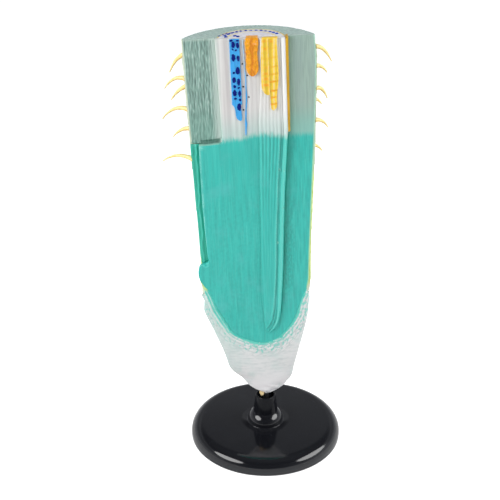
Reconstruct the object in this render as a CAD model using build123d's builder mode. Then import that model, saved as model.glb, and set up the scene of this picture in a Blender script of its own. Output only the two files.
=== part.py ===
"""A teaching model of a root tip on a round stand.

The stand stands on Z = 0 with its axis on Z. The root body leans to its left on the stand, faces -Y,
turns about the stand's axis and lifts off its rod. All sizes are in millimetres.
"""

import os
from math import asin, cos, degrees, radians, sin

from build123d import *

os.makedirs("parts", exist_ok=True)

# Stand: the moulded foot
base_radius = 76.0
base_thickness = 16.5
base_edge_round = 11.3
base_foot_round = 2.0
base_wall = 3.0
dome_radius = 17.8
dome_height = 8.0
dome_flare = 1.2
dome_crown_share = 0.3
boss_radius = 16.0
boss_bottom = 7.0

# Stand: cover, ballast and screws
cover_thickness = 2.0
cover_clearance = 0.2
cover_rim = 3.0
ballast_inner_radius = 24.0
ballast_outer_radius = 47.0
ballast_thickness = 7.5
screw_circle_radius = 58.0
screw_count = 3
screw_radius = 1.5
screw_head_radius = 2.8
screw_hole_length = 9.0
screw_end_room = 1.0
pillar_radius = 4.5

# Stand: socket collar
collar_height = 22.5
collar_foot_radius = 13.1
collar_rim_radius = 9.8
collar_rim_round = 0.8
largest_rim_round_share = 0.45
socket_radius = 8.7
socket_depth = 16.0
spigot_radius = 9.0
spigot_length = 10.0
fit_clearance = 0.05
running_gap = 0.3

# Rod that the root turns on
rod_radius = 3.0
rod_above_rim = 40.0
rod_tip_chamfer = 0.8
flange_radius = 6.0
flange_thickness = 2.5
washer_radius = 7.0
washer_thickness = 1.2
rod_screw_head_radius = 3.6
rod_screw_head_height = 2.0
rod_screw_radius = 1.5
rod_screw_length = 10.0

# Root body: lean and main heights, measured up the root from the rim of the socket
lean_angle = 2.5
body_height = 375.5
cap_height = 122.0
top_thickness = 4.5

# Root body: depths in front of (minus) and behind the rod's axis
seam_depth = -9.0
strip_depth = -10.5
panel_depth = -11.5
plate_depth = -14.5
column_depth = -15.7
ridge_depth = -16.9
shell_wall = 3.5
corner_round = 2.5
pocket_extra = 1.0
beyond_sides = 10.0

# Root body: share of the way up the shell, left edge, right edge, back
shell_stations = (
    (0.00, -57.8, 48.4, 25.0),
    (0.20, -56.8, 50.6, 25.6),
    (0.40, -57.9, 53.6, 26.4),
    (0.60, -59.2, 56.6, 27.2),
    (0.80, -60.4, 58.9, 27.8),
    (0.92, -60.9, 59.8, 28.0),
    (1.00, -61.2, 58.9, 28.0),
)

# Root cap: height, left edge, right edge, depth of the side edges, front, back
cap_stations = (
    (1.5, -5.0, 7.5, 0.0, -5.5, 6.5),
    (4.0, -7.0, 10.5, -0.8, -6.5, 7.5),
    (8.0, -10.5, 15.0, -1.8, -8.0, 9.0),
    (13.0, -15.7, 19.3, -3.2, -9.3, 10.3),
    (19.0, -20.0, 24.0, -4.8, -10.6, 11.8),
    (25.0, -23.4, 27.2, -6.4, -11.8, 13.0),
    (31.0, -28.6, 28.4, -8.0, -12.8, 14.4),
    (38.0, -33.4, 29.8, -9.4, -13.6, 15.8),
    (47.0, -35.8, 32.0, -10.8, -14.2, 17.4),
    (60.0, -39.2, 35.4, -12.0, -14.6, 19.4),
    (75.0, -44.4, 39.6, -12.8, -14.8, 21.2),
    (92.0, -51.0, 44.0, -13.2, -14.8, 22.8),
    (108.0, -56.3, 46.9, -13.4, -14.8, 24.2),
    (cap_height, -58.9, 48.6, -13.4, -14.8, 25.0),
)
cap_corner_share = 0.16
cap_cavity_stations = 4
cap_wall = 6.0

# Front plate: the turquoise tongue, the curled notch and the ledge under the left cortex panel
tongue_bottom = 68.9
notch_height = 158.6
ledge_below_top = 97.2
stele_left = -30.2
plate_left = -50.2
plate_left_bow = 0.3
ledge_slot = 0.5
strip_overlap = 3.0
strip_end_below_notch = 2.0
panel_overlap = 2.0
panel_side_step = 2.2

# Front plate: outline points as (across, height above the ledge, the notch or the tongue's bottom)
ledge_points = ((-28.6, 2.5), (-38.2, 0.8), (plate_left, -1.8))
notch_points = ((-48.6, 5.0), (-49.2, -0.5), (-55.9, -3.0), (-58.3, -8.0), (-57.9, -18.0), (-54.1, -29.0))
tongue_left_points = (
    (-52.4, 50.5),
    (-48.7, 39.6),
    (-41.8, 25.2),
    (-31.6, 12.2),
    (-17.9, 3.7),
    (-2.3, 0.0),
    (4.4, 0.4),
)
tongue_right_points = (
    (4.4, 0.4),
    (13.5, 3.4),
    (24.6, 13.9),
    (34.4, 26.2),
    (40.2, 40.1),
    (44.4, 56.2),
    (46.9, 70.0),
)

# Ribbed column: edge points as (across, height), and near the top as (across, distance below the top)
column_tip = (4.4, 80.1)
column_left_low = (2.6, 96.0)
column_left_middle = (3.0, 190.0)
column_left_upper_points = ((5.6, 75.5), (8.8, 35.5))
groove_bend = (11.4, 84.4)
groove_curve = ((16.4, 93.5), (19.4, 110.0), (21.6, 135.0), (23.3, 165.0), (25.0, 200.0), (27.4, 240.0))
groove_high_across = 31.2
groove_high_below_top = 87.5
ridge_width = 4.6
rib_count = 6
rib_width = 1.1
rib_height = 0.5
rib_top_below_top = 71.5
rib_bottom = 108.0

# Relief on the stele: thicknesses and widths
xylem_thickness = 0.9
cell_thickness = 0.4
strand_thickness = 0.6
strand_width = 1.2
dot_radius = 0.75
dot_thickness = 0.4
phloem_thickness = 1.8
sieve_thickness = 1.4
endodermis_width = 3.2
endodermis_seat = 0.5

# Relief on the stele: outline points as (across, distance below the top)
xylem_side_points = ((-17.8, 60.0), (-17.6, 0.0), (-8.6, 0.0), (-8.9, 60.0))
xylem_end_points = ((-8.9, 60.0), (-9.6, 69.0), (-11.2, 75.4), (-12.8, 74.6), (-15.2, 67.5), (-17.8, 60.0))
strand_points = ((-5.6, 1.0), (-5.3, 14.0), (-4.8, 30.0), (-4.7, 43.0), (-4.9, 56.0), (-5.9, 69.0), (-6.2, 79.0))
strand_tip_point = (-6.9, 88.6)
pit_dot_points = ((-7.0, 22.8), (-3.2, 33.4), (-7.2, 43.7), (-2.5, 53.5), (-7.9, 65.2))
phloem_left_points = ((-3.0, 0.0), (-3.6, 8.0), (-3.0, 17.0), (-3.4, 26.0), (-1.6, 32.0), (2.1, 34.2))
phloem_right_points = ((2.1, 34.2), (6.2, 31.0), (7.8, 25.0), (7.0, 17.0), (8.0, 8.0), (7.6, 0.0))
sieve_split = 17.0
sieve_left_points = ((11.4, 0.0), (10.2, 14.0), (9.6, 36.0), (10.2, 46.0), (13.4, 51.0), (sieve_split, 51.4))
sieve_right_points = ((24.6, 0.0), (24.9, 20.0), (24.7, 40.0), (22.9, 56.0), (21.6, 64.6), (19.0, 66.0))
sieve_tip_points = ((19.0, 66.0), (17.4, 64.0), (sieve_split, 52.0))

# Relief on the stele: vessel mouths as (across, distance below the top, half width, half height)
xylem_cell_points = (
    (-15.8, 1.4, 1.3, 0.9),
    (-10.3, 1.5, 1.4, 0.9),
    (-14.1, 5.0, 1.6, 2.8),
    (-10.3, 5.8, 1.3, 2.6),
    (-14.7, 9.3, 0.8, 0.9),
    (-12.2, 10.0, 0.7, 0.9),
    (-14.6, 16.7, 1.8, 3.1),
    (-10.4, 17.4, 1.2, 2.8),
    (-11.3, 28.7, 1.8, 3.3),
    (-14.8, 30.5, 1.1, 1.2),
    (-14.9, 37.0, 1.8, 2.8),
    (-11.0, 38.7, 1.5, 3.2),
    (-14.8, 42.9, 1.2, 1.4),
    (-11.0, 44.2, 1.4, 0.9),
    (-15.0, 49.0, 1.8, 3.0),
    (-10.6, 49.6, 1.2, 3.2),
    (-14.6, 54.2, 1.5, 0.9),
    (-10.6, 55.4, 0.9, 1.3),
    (-11.6, 62.0, 1.9, 3.4),
)

# Cross-section on top
stele_top_left = -28.5
stele_top_right = 31.0
stele_top_back = 15.0
band_width = 0.9
band_depth = 1.0
ring_dot_radius = 1.15
ring_dot_thickness = 0.3
ring_dot_count = 13
ring_dot_inset = 5.0
ring_dot_spread = 0.8

# Wooden plug in the tip
plug_radius = 6.0
plug_below_rim = 1.5
plug_length = 54.0
plug_chamfer = 1.0
bore_over_rod = 2.0

# Root hairs: a horn that leaves the skin square to it and droops
hair_root_radius = 2.5
hair_tip_radius = 0.5
hair_seat = 2.6
hair_bend_share = 0.5
hair_section_shares = (0.0, 0.35, 0.7, 1.0)

# Root hairs: how far below the top, place round the back arc from left (0) to right (1), reach, rise, droop
left_hairs = (
    (14.5, 0.03, 15.5, -2.0, 18.0),
    (36.7, 0.03, 22.7, 4.5, 11.9),
    (43.5, 0.03, 16.7, -3.0, 15.1),
    (65.3, 0.03, 27.9, 5.0, 12.7),
    (83.3, 0.03, 18.1, 0.5, 10.7),
    (113.2, 0.03, 32.2, 6.5, 6.8),
)
right_hairs = (
    (11.2, 0.97, 16.1, 1.0, 16.9),
    (29.0, 0.97, 11.1, 1.5, 8.4),
    (49.3, 0.97, 11.8, 3.0, 12.3),
    (60.9, 0.93, 10.5, 0.5, 7.7),
    (79.7, 0.97, 13.2, 2.5, 9.6),
    (105.5, 0.93, 12.5, 1.0, 8.9),
)
back_hair_columns = 6
back_hair_rows = 2
back_hair_first = 0.22
back_hair_last = 0.78
back_hair_top = 22.0
back_hair_pitch = 50.0
back_hair_stagger = 25.0
back_hair_reach = 20.0
back_hair_rise = 3.0
back_hair_droop = 9.0

# Levels on the stand that follow from the sizes above
dome_top = base_thickness + dome_height
socket_rim = dome_top + collar_height
socket_floor = socket_rim - socket_depth
spigot_bottom = dome_top - spigot_length
cover_radius = base_radius - cover_rim
cover_screw_length = cover_thickness + screw_hole_length - screw_end_room
ledge_height = body_height - ledge_below_top
lean = radians(lean_angle)

# The root's own plane: origin on the stand's axis at the socket rim, z up the leaning root
root_plane = Plane(
    origin=(0, 0, socket_rim),
    x_dir=(cos(lean), 0, sin(lean)),
    z_dir=(-sin(lean), 0, cos(lean)),
)


def level(height):
    """The plane across the root at a height above the socket rim."""
    return root_plane.offset(height)


def front_plane(depth):
    """The upright plane at a depth: x across the root, y up the root, facing the front."""
    origin = root_plane.from_local_coords(Vector(0, depth, 0))
    return Plane(origin=origin, x_dir=root_plane.x_dir, z_dir=(0, -1, 0))


def shell_height(share):
    """Height up the root at a share of the way from the cap to the top."""
    return cap_height + share * (body_height - cap_height)


def slab_form(inset, front):
    """The slab with its flat front at a depth and a curved back, its sides moved in by the inset."""
    with BuildPart() as form:
        for share, left, right, back in shell_stations:
            with BuildSketch(level(shell_height(share))):
                with BuildLine():
                    middle = (left + right) / 2
                    start = (left + inset, front)
                    end = (right - inset, front)
                    Line(start, end)
                    ThreePointArc(end, (middle, back - inset), start)
                make_face()
                fillet(vertices(), corner_round)
        loft()
    return form.part


def cap_form(stations, inset, front_inset):
    """The lumpy lower end between the given stations, with its sides moved in by the insets."""
    with BuildPart() as form:
        for height, left, right, side, front, back in stations:
            with BuildSketch(level(height)):
                with BuildLine():
                    middle = (left + right) / 2
                    start = (left + inset, side + front_inset)
                    end = (right - inset, side + front_inset)
                    ThreePointArc(start, (middle, front + front_inset), end)
                    ThreePointArc(end, (middle, back - inset), start)
                make_face()
                fillet(vertices(), cap_corner_share * (back - front) / 2)
        loft()
    return form.part


def skin_point(below_top, around):
    """A point on the curved back and the way straight out of it, in the root's own plane."""
    share = 1 - below_top / (body_height - cap_height)
    upper = next(row for row in shell_stations if row[0] >= share)
    lower = [row for row in shell_stations if row[0] <= share][-1]
    span = max(upper[0] - lower[0], 0.001)
    mix = (share - lower[0]) / span
    left, right, back = [lower[i] + mix * (upper[i] - lower[i]) for i in (1, 2, 3)]
    half = (right - left) / 2
    rise = back - panel_depth
    radius = (half * half + rise * rise) / (2 * rise)
    centre = (left + half, back - radius)
    reach_angle = degrees(asin(half / radius))
    angle = radians(-reach_angle + 2 * reach_angle * around)
    out = Vector(sin(angle), cos(angle), 0)
    height = body_height - below_top
    return Vector(centre[0], centre[1], height) + out * radius, out


# Stand pieces


def screw_form(radius, head_radius, length):
    """A countersunk screw that points up, with the face of its head on Z = 0."""
    with BuildPart() as form:
        with BuildSketch(Plane.XZ):
            with BuildLine():
                Polyline(
                    (0, 0),
                    (head_radius, 0),
                    (radius, head_radius - radius),
                    (radius, length),
                    (0, length),
                    close=True,
                )
            make_face()
        revolve(axis=Axis.Z)
    return form.part


with BuildPart() as base_moulding:
    with BuildSketch(Plane.XZ):
        with BuildLine():
            edge_start = base_thickness - base_edge_round
            flat_end = base_radius - base_edge_round
            foot_top = base_foot_round
            inner_radius = base_radius - cover_rim
            ceiling = base_thickness - base_wall
            Line((0, boss_bottom), (boss_radius, boss_bottom))
            Line((boss_radius, boss_bottom), (boss_radius, ceiling))
            Line((boss_radius, ceiling), (flat_end, ceiling))
            RadiusArc((flat_end, ceiling), (inner_radius, edge_start), base_edge_round - base_wall)
            Line((inner_radius, edge_start), (inner_radius, 0))
            Line((inner_radius, 0), (base_radius - base_foot_round, 0))
            RadiusArc((base_radius - base_foot_round, 0), (base_radius, foot_top), -base_foot_round)
            Line((base_radius, foot_top), (base_radius, edge_start))
            RadiusArc((base_radius, edge_start), (flat_end, base_thickness), -base_edge_round)
            Line((flat_end, base_thickness), (dome_radius + dome_flare, base_thickness))
            flare_top = (dome_radius, base_thickness + dome_flare)
            RadiusArc((dome_radius + dome_flare, base_thickness), flare_top, dome_flare)
            crown = (collar_foot_radius, dome_top)
            crown_run = dome_radius - collar_foot_radius
            shoulder = (dome_radius - dome_crown_share * crown_run, dome_top - dome_crown_share * dome_height)
            ThreePointArc(flare_top, shoulder, crown)
            Line(crown, (0, dome_top))
            Line((0, dome_top), (0, boss_bottom))
        make_face()
    revolve(axis=Axis.Z)
    with BuildSketch(Plane.XY.offset(cover_thickness)):
        with PolarLocations(screw_circle_radius, screw_count):
            Circle(pillar_radius)
    extrude(until=Until.NEXT)
    with BuildSketch(Plane.XY.offset(cover_thickness)):
        with PolarLocations(screw_circle_radius, screw_count):
            Circle(screw_radius)
    extrude(amount=screw_hole_length, mode=Mode.SUBTRACT)
    with BuildSketch(Plane.XY.offset(spigot_bottom)):
        Circle(spigot_radius)
    extrude(amount=spigot_length, mode=Mode.SUBTRACT)
    with BuildSketch(Plane.XY.offset(boss_bottom)):
        Circle(rod_radius + running_gap)
    extrude(amount=spigot_bottom - boss_bottom, mode=Mode.SUBTRACT)

with BuildPart() as socket_collar:
    with BuildSketch(Plane.XZ):
        with BuildLine():
            bore = rod_radius + fit_clearance
            Polyline(
                (bore, spigot_bottom),
                (spigot_radius, spigot_bottom),
                (spigot_radius, dome_top),
                (collar_foot_radius, dome_top),
                (collar_rim_radius, socket_rim),
                (socket_radius, socket_rim),
                (socket_radius, socket_floor),
                (bore, socket_floor),
                close=True,
            )
        make_face()
    revolve(axis=Axis.Z)
    rim_edges = edges().filter_by(GeomType.CIRCLE).group_by(Axis.Z)[-1]
    rim_wall = collar_rim_radius - socket_radius
    fillet(rim_edges, min(collar_rim_round, largest_rim_round_share * rim_wall))

with BuildPart() as ballast_ring:
    with BuildSketch(Plane.XY.offset(base_thickness - base_wall - ballast_thickness)):
        Circle(ballast_outer_radius)
        Circle(ballast_inner_radius, mode=Mode.SUBTRACT)
    extrude(amount=ballast_thickness)

with BuildPart() as base_cover:
    Cylinder(cover_radius - cover_clearance, cover_thickness, align=(Align.CENTER, Align.CENTER, Align.MIN))
    hole = screw_form(screw_radius + fit_clearance, screw_head_radius + fit_clearance, cover_thickness)
    with PolarLocations(screw_circle_radius, screw_count):
        add(hole, mode=Mode.SUBTRACT)

with BuildPart() as cover_screws:
    with PolarLocations(screw_circle_radius, screw_count):
        add(screw_form(screw_radius, screw_head_radius, cover_screw_length))

with BuildPart() as mounting_rod:
    with BuildSketch(Plane.XZ):
        with BuildLine():
            rod_bottom = boss_bottom - running_gap
            rod_top = socket_rim + rod_above_rim
            flange_bottom = socket_floor + running_gap
            flange_top = flange_bottom + flange_thickness
            Polyline(
                (0, rod_bottom),
                (rod_radius, rod_bottom),
                (rod_radius, flange_bottom),
                (flange_radius, flange_bottom),
                (flange_radius, flange_top),
                (rod_radius, flange_top),
                (rod_radius, rod_top - rod_tip_chamfer),
                (rod_radius - rod_tip_chamfer, rod_top),
                (0, rod_top),
                close=True,
            )
        make_face()
    revolve(axis=Axis.Z)
    with BuildSketch(Plane.XY.offset(rod_bottom)):
        Circle(rod_screw_radius)
    extrude(amount=rod_screw_length, mode=Mode.SUBTRACT)

with BuildPart() as rod_washer:
    with BuildSketch(Plane.XY.offset(rod_bottom - washer_thickness)):
        Circle(washer_radius)
        Circle(rod_screw_radius + fit_clearance, mode=Mode.SUBTRACT)
    extrude(amount=washer_thickness)

with BuildPart() as rod_screw:
    with BuildSketch(Plane.XY.offset(rod_bottom - washer_thickness - rod_screw_head_height)):
        Circle(rod_screw_head_radius)
    extrude(amount=rod_screw_head_height)
    with BuildSketch(Plane.XY.offset(rod_bottom - washer_thickness)):
        Circle(rod_screw_radius)
    extrude(amount=washer_thickness + rod_screw_length)

# Root body: the forms that its pieces are cut from

slab = slab_form(0, panel_depth)
slab_cavity = slab_form(shell_wall, seam_depth + shell_wall)
cap_outside = cap_form(cap_stations, 0, 0)
cap_cavity = cap_form(cap_stations[-cap_cavity_stations:], cap_wall, seam_depth - plate_depth + cap_wall)
pocket_reach = seam_depth - ridge_depth + pocket_extra
panel_top = body_height - top_thickness
panel_bottom = ledge_height - ledge_slot
outside = shell_stations[-1][1] - beyond_sides


def above(level_height, points):
    """Points on the front, their second value turned from a rise above a height to a height."""
    return [(across, level_height + rise) for across, rise in points]


def below_top(*points):
    """Points on the front, their second value turned from a distance below the top to a height."""
    return [(across, body_height - drop) for across, drop in points]


# Edges on the front, as (across, height)
ledge_edge = above(ledge_height, ledge_points)
notch_edge = above(notch_height, notch_points)
plate_left_middle = (plate_left - plate_left_bow, (ledge_height + notch_height) / 2)
plate_left_edge = (ledge_edge[-1], plate_left_middle, notch_edge[0])
tongue_left_edge = (notch_edge[-1], *above(tongue_bottom, tongue_left_points))
tongue_right_edge = above(tongue_bottom, tongue_right_points)
panel_right_edge = (
    tongue_right_edge[-1],
    *[(right - panel_side_step, shell_height(share)) for share, left, right, back in shell_stations[1:-1]],
    (shell_stations[-1][2] - panel_side_step, panel_top),
)
groove_high = (groove_high_across, body_height - groove_high_below_top)
groove_edge = (column_tip, groove_bend, *groove_curve, groove_high)
groove_top = (groove_high_across, body_height)
column_left_high, column_left_top = below_top(*column_left_upper_points)
column_left_edge = (column_left_top, column_left_high, column_left_middle, column_left_low, column_tip)

# Root body pieces: the front

with BuildSketch(front_plane(seam_depth)) as plate_outline:
    with BuildLine():
        Polyline(groove_high, groove_top, (stele_left, body_height), *ledge_edge)
        Spline(*plate_left_edge)
        Spline(*notch_edge)
        Spline(*tongue_left_edge)
        Line(tongue_left_edge[-1], column_tip)
        Spline(*groove_edge)
    make_face()

with BuildSketch(front_plane(seam_depth)) as panel_outline:
    with BuildLine():
        Line(column_tip, tongue_right_edge[0])
        Spline(*tongue_right_edge)
        Spline(*panel_right_edge)
        Polyline(panel_right_edge[-1], (groove_high[0], panel_top), groove_high)
        Spline(*groove_edge)
    make_face()

with BuildPart() as front_plate:
    extrude(plate_outline.sketch, amount=seam_depth - plate_depth)

with BuildPart() as right_cortex_panel:
    extrude(panel_outline.sketch, amount=seam_depth - plate_depth)
    slope_normal = Vector(0, -1, 0) * (body_height - column_tip[1])
    slope_normal += root_plane.z_dir * (panel_depth - plate_depth)
    slope_start = root_plane.from_local_coords(Vector(0, plate_depth, column_tip[1]))
    split(bisect_by=Plane(slope_start, root_plane.x_dir, slope_normal), keep=Keep.BOTTOM)

with BuildPart() as left_cortex_panel:
    with BuildSketch(front_plane(seam_depth)):
        with BuildLine():
            Polyline(
                (outside, body_height),
                (outside, panel_bottom),
                (stele_left + panel_overlap, panel_bottom),
                (stele_left + panel_overlap, body_height),
                close=True,
            )
        make_face()
    extrude(amount=seam_depth - panel_depth)
    add(slab, mode=Mode.INTERSECT)
    add(front_plate.part, mode=Mode.SUBTRACT)

with BuildPart() as left_edge_strip:
    with BuildSketch(front_plane(seam_depth)):
        with BuildLine():
            strip_bottom = notch_height - strip_end_below_notch
            Polyline(
                (outside, panel_bottom),
                (plate_left + strip_overlap, panel_bottom),
                (plate_left + strip_overlap, strip_bottom),
                (outside, strip_bottom),
                close=True,
            )
        make_face()
    extrude(amount=seam_depth - strip_depth)
    add(slab, mode=Mode.INTERSECT)
    add(front_plate.part, mode=Mode.SUBTRACT)

with BuildPart() as stele_column:
    with BuildSketch(front_plane(plate_depth)):
        with BuildLine():
            Polyline(groove_high, groove_top, (column_left_top[0], body_height), column_left_top)
            Spline(*column_left_edge)
            Spline(*groove_edge)
        make_face()
    extrude(amount=plate_depth - column_depth)
    with BuildSketch(front_plane(column_depth)):
        with BuildLine():
            ridge_left = [(across - ridge_width, height) for across, height in groove_edge[2:]]
            Polyline(groove_high, groove_top, (groove_top[0] - ridge_width, body_height), ridge_left[-1])
            Spline(*reversed(ridge_left), column_tip)
            Spline(*groove_edge)
        make_face()
    extrude(amount=column_depth - ridge_depth)
    with BuildSketch(front_plane(column_depth)):
        rib_top = body_height - rib_top_below_top
        for rib in range(rib_count):
            share = (rib + 0.5) / rib_count
            top_span = groove_high_across - ridge_width - column_left_high[0]
            bottom_span = groove_curve[1][0] - ridge_width - column_left_low[0]
            top_middle = column_left_high[0] + share * top_span
            bottom_middle = column_left_low[0] + share * bottom_span
            with BuildLine():
                Polyline(
                    (bottom_middle - rib_width / 2, rib_bottom),
                    (bottom_middle + rib_width / 2, rib_bottom),
                    (top_middle + rib_width / 2, rib_top),
                    (top_middle - rib_width / 2, rib_top),
                    close=True,
                )
            make_face()
    extrude(amount=rib_height)

# Root body pieces: plug, cap and shell

with BuildPart() as wood_plug:
    with BuildSketch(Plane.XY.offset(socket_rim - plug_below_rim)):
        Circle(plug_radius)
    extrude(amount=plug_length)
    chamfer(edges().group_by(Axis.Z)[0], plug_chamfer)
    with BuildSketch(Plane.XY.offset(socket_rim - plug_below_rim)):
        Circle(rod_radius + fit_clearance)
    extrude(amount=plug_below_rim + rod_above_rim + bore_over_rod, mode=Mode.SUBTRACT)

with BuildPart() as root_cap:
    add(cap_outside)
    add(cap_cavity, mode=Mode.SUBTRACT)
    extrude(plate_outline.sketch, amount=pocket_reach, mode=Mode.SUBTRACT)
    extrude(panel_outline.sketch, amount=pocket_reach, mode=Mode.SUBTRACT)
    with BuildSketch(Plane.XY.offset(socket_rim - plug_below_rim)):
        Circle(plug_radius)
    extrude(amount=plug_length, mode=Mode.SUBTRACT)

with BuildPart() as back_shell:
    add(slab)
    add(slab_cavity, mode=Mode.SUBTRACT)
    split(bisect_by=front_plane(seam_depth), keep=Keep.BOTTOM)
    split(bisect_by=level(panel_top), keep=Keep.BOTTOM)

# Root body pieces: the cross-section on top


def stele_outline(inset):
    """The stele's outline on top, straight at the front and curved at the back, moved in by the inset."""
    middle = (stele_top_left + stele_top_right) / 2
    start = (stele_top_left + inset, seam_depth)
    end = (stele_top_right - inset, seam_depth)
    with BuildSketch() as outline:
        with BuildLine():
            ThreePointArc(start, (middle, stele_top_back - inset), end)
            Line(end, start)
        make_face()
    return outline.sketch


with BuildPart() as top_endodermis_band:
    with BuildSketch(level(body_height - band_depth)):
        add(stele_outline(0))
    extrude(amount=band_depth)
    with BuildSketch(level(body_height - band_depth)):
        add(stele_outline(band_width))
    extrude(amount=band_depth, mode=Mode.SUBTRACT)

with BuildPart() as top_stele:
    with BuildSketch(level(panel_top)):
        add(stele_outline(0))
    extrude(amount=top_thickness)
    add(top_endodermis_band.part, mode=Mode.SUBTRACT)

with BuildPart() as top_cortex:
    add(slab)
    split(bisect_by=level(panel_top), keep=Keep.TOP)
    with BuildSketch(level(panel_top)):
        with BuildLine():
            Polyline(
                (outside, seam_depth),
                (groove_high_across, seam_depth),
                (groove_high_across, plate_depth),
                (outside, plate_depth),
                close=True,
            )
        make_face()
    extrude(amount=top_thickness, mode=Mode.SUBTRACT)
    with BuildSketch(level(panel_top)):
        add(stele_outline(0))
    extrude(amount=top_thickness, mode=Mode.SUBTRACT)

with BuildPart() as top_xylem_dots:
    half_chord = (stele_top_right - stele_top_left) / 2
    arc_rise = stele_top_back - seam_depth
    arc_radius = (half_chord**2 + arc_rise**2) / (2 * arc_rise)
    arc_half_angle = degrees(asin(half_chord / arc_radius))
    with BuildSketch(level(body_height)):
        with Locations((stele_top_left + half_chord, stele_top_back - arc_radius)):
            with PolarLocations(
                arc_radius - ring_dot_inset,
                ring_dot_count,
                start_angle=90 - ring_dot_spread * arc_half_angle,
                angular_range=2 * ring_dot_spread * arc_half_angle,
                endpoint=True,
            ):
                Circle(ring_dot_radius)
    extrude(amount=ring_dot_thickness)

with BuildPart() as endodermis_strip:
    with BuildSketch(level(groove_high[1])):
        with BuildLine():
            strip_back = panel_depth + endodermis_seat
            Polyline(
                (groove_high_across, column_depth),
                (groove_high_across + endodermis_width, strip_back),
                (groove_high_across, strip_back),
                close=True,
            )
        make_face()
    extrude(amount=groove_high_below_top)
    add(right_cortex_panel.part, mode=Mode.SUBTRACT)
    add(top_cortex.part, mode=Mode.SUBTRACT)

# Root body pieces: relief on the stele

with BuildPart() as xylem_strip:
    with BuildSketch(front_plane(plate_depth)):
        with BuildLine():
            Polyline(*below_top(*xylem_side_points))
            Spline(*below_top(*xylem_end_points))
        make_face()
    extrude(amount=xylem_thickness)

with BuildPart() as xylem_cells:
    with BuildSketch(front_plane(plate_depth - xylem_thickness)):
        for across, drop, half_width, half_height in xylem_cell_points:
            with Locations(below_top((across, drop))):
                Ellipse(half_width, half_height)
    extrude(amount=cell_thickness)

with BuildPart() as protoxylem_strand:
    with BuildSketch(front_plane(plate_depth)):
        with BuildLine():
            left_side = below_top(*[(across - strand_width / 2, drop) for across, drop in strand_points])
            right_side = below_top(*[(across + strand_width / 2, drop) for across, drop in strand_points])
            tip = below_top(strand_tip_point)
            Spline(*left_side)
            Polyline(left_side[-1], *tip, right_side[-1])
            Spline(*right_side)
            Line(right_side[0], left_side[0])
        make_face()
    extrude(amount=strand_thickness)

with BuildPart() as pit_dots:
    with BuildSketch(front_plane(plate_depth)):
        with Locations(below_top(*pit_dot_points)):
            Circle(dot_radius)
    extrude(amount=dot_thickness)

with BuildPart() as phloem_relief:
    with BuildSketch(front_plane(plate_depth)):
        with BuildLine():
            Spline(*below_top(*phloem_left_points))
            Spline(*below_top(*phloem_right_points))
            Line(*below_top(phloem_right_points[-1], phloem_left_points[0]))
        make_face()
    extrude(amount=phloem_thickness)

with BuildPart() as sieve_tube_left:
    with BuildSketch(front_plane(column_depth)):
        with BuildLine():
            Spline(*below_top(*sieve_left_points))
            Polyline(*below_top(sieve_left_points[-1], (sieve_split, 0), sieve_left_points[0]))
        make_face()
    extrude(amount=sieve_thickness)

with BuildPart() as sieve_tube_right:
    with BuildSketch(front_plane(column_depth)):
        with BuildLine():
            Spline(*below_top(*sieve_right_points))
            Polyline(*below_top(*sieve_tip_points, (sieve_split, 0), sieve_right_points[0]))
        make_face()
    extrude(amount=sieve_thickness)

# Root hairs


def root_hair(below, around, reach, rise, droop):
    """One glued-in hair: a tapered horn that starts in the skin, leaves it and droops to its tip."""
    root, out = skin_point(below, around)
    up = Vector(0, 0, 1)
    bend = root + out * (reach * hair_bend_share) + up * rise
    start = root - (bend - root).normalized() * hair_seat
    tip = root + out * reach - up * droop
    side = root_plane.from_local_coords(out.cross(up)) - root_plane.origin
    with BuildPart() as hair:
        with BuildLine(mode=Mode.PRIVATE) as path:
            Bezier(*[root_plane.from_local_coords(point) for point in (start, bend, tip)])
        for share in hair_section_shares:
            radius = hair_root_radius + share * (hair_tip_radius - hair_root_radius)
            with BuildSketch(Plane(path.line @ share, side, path.line % share)):
                Circle(radius)
        loft()
        add(slab, mode=Mode.SUBTRACT)
        add(right_cortex_panel.part, mode=Mode.SUBTRACT)
    return hair


back_hairs = []
for column in range(back_hair_columns):
    around = back_hair_first + column * (back_hair_last - back_hair_first) / (back_hair_columns - 1)
    for row in range(back_hair_rows):
        below = back_hair_top + row * back_hair_pitch + (column % 2) * back_hair_stagger
        back_hairs.append((below, around, back_hair_reach, back_hair_rise, back_hair_droop))

hairs = {}
for place, table in (("left", left_hairs), ("right", right_hairs), ("back", back_hairs)):
    for number, row in enumerate(table, start=1):
        hairs[f"root_hair_{place}_{number}"] = root_hair(*row)

pieces = {
    "base_moulding": base_moulding,
    "socket_collar": socket_collar,
    "ballast_ring": ballast_ring,
    "base_cover": base_cover,
    "cover_screws": cover_screws,
    "mounting_rod": mounting_rod,
    "rod_washer": rod_washer,
    "rod_screw": rod_screw,
    "wood_plug": wood_plug,
    "root_cap": root_cap,
    "back_shell": back_shell,
    "front_plate": front_plate,
    "left_edge_strip": left_edge_strip,
    "left_cortex_panel": left_cortex_panel,
    "right_cortex_panel": right_cortex_panel,
    "stele_column": stele_column,
    "endodermis_strip": endodermis_strip,
    "xylem_strip": xylem_strip,
    "xylem_cells": xylem_cells,
    "protoxylem_strand": protoxylem_strand,
    "pit_dots": pit_dots,
    "phloem_relief": phloem_relief,
    "sieve_tube_left": sieve_tube_left,
    "sieve_tube_right": sieve_tube_right,
    "top_cortex": top_cortex,
    "top_stele": top_stele,
    "top_endodermis_band": top_endodermis_band,
    "top_xylem_dots": top_xylem_dots,
    **hairs,
}
for name, piece in pieces.items():
    piece.part.label = name
    export_step(piece.part, f"parts/{name}.step")
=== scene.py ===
"""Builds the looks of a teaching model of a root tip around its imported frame.

Objects are in metres. The root leans on its stand, so its surfaces are shaped in the root's own
millimetres: across to the right, depth to the back, and height above the rim of the stand's socket.
"""

from functools import cached_property
from math import cos, pi, radians, sin
from types import SimpleNamespace

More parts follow.
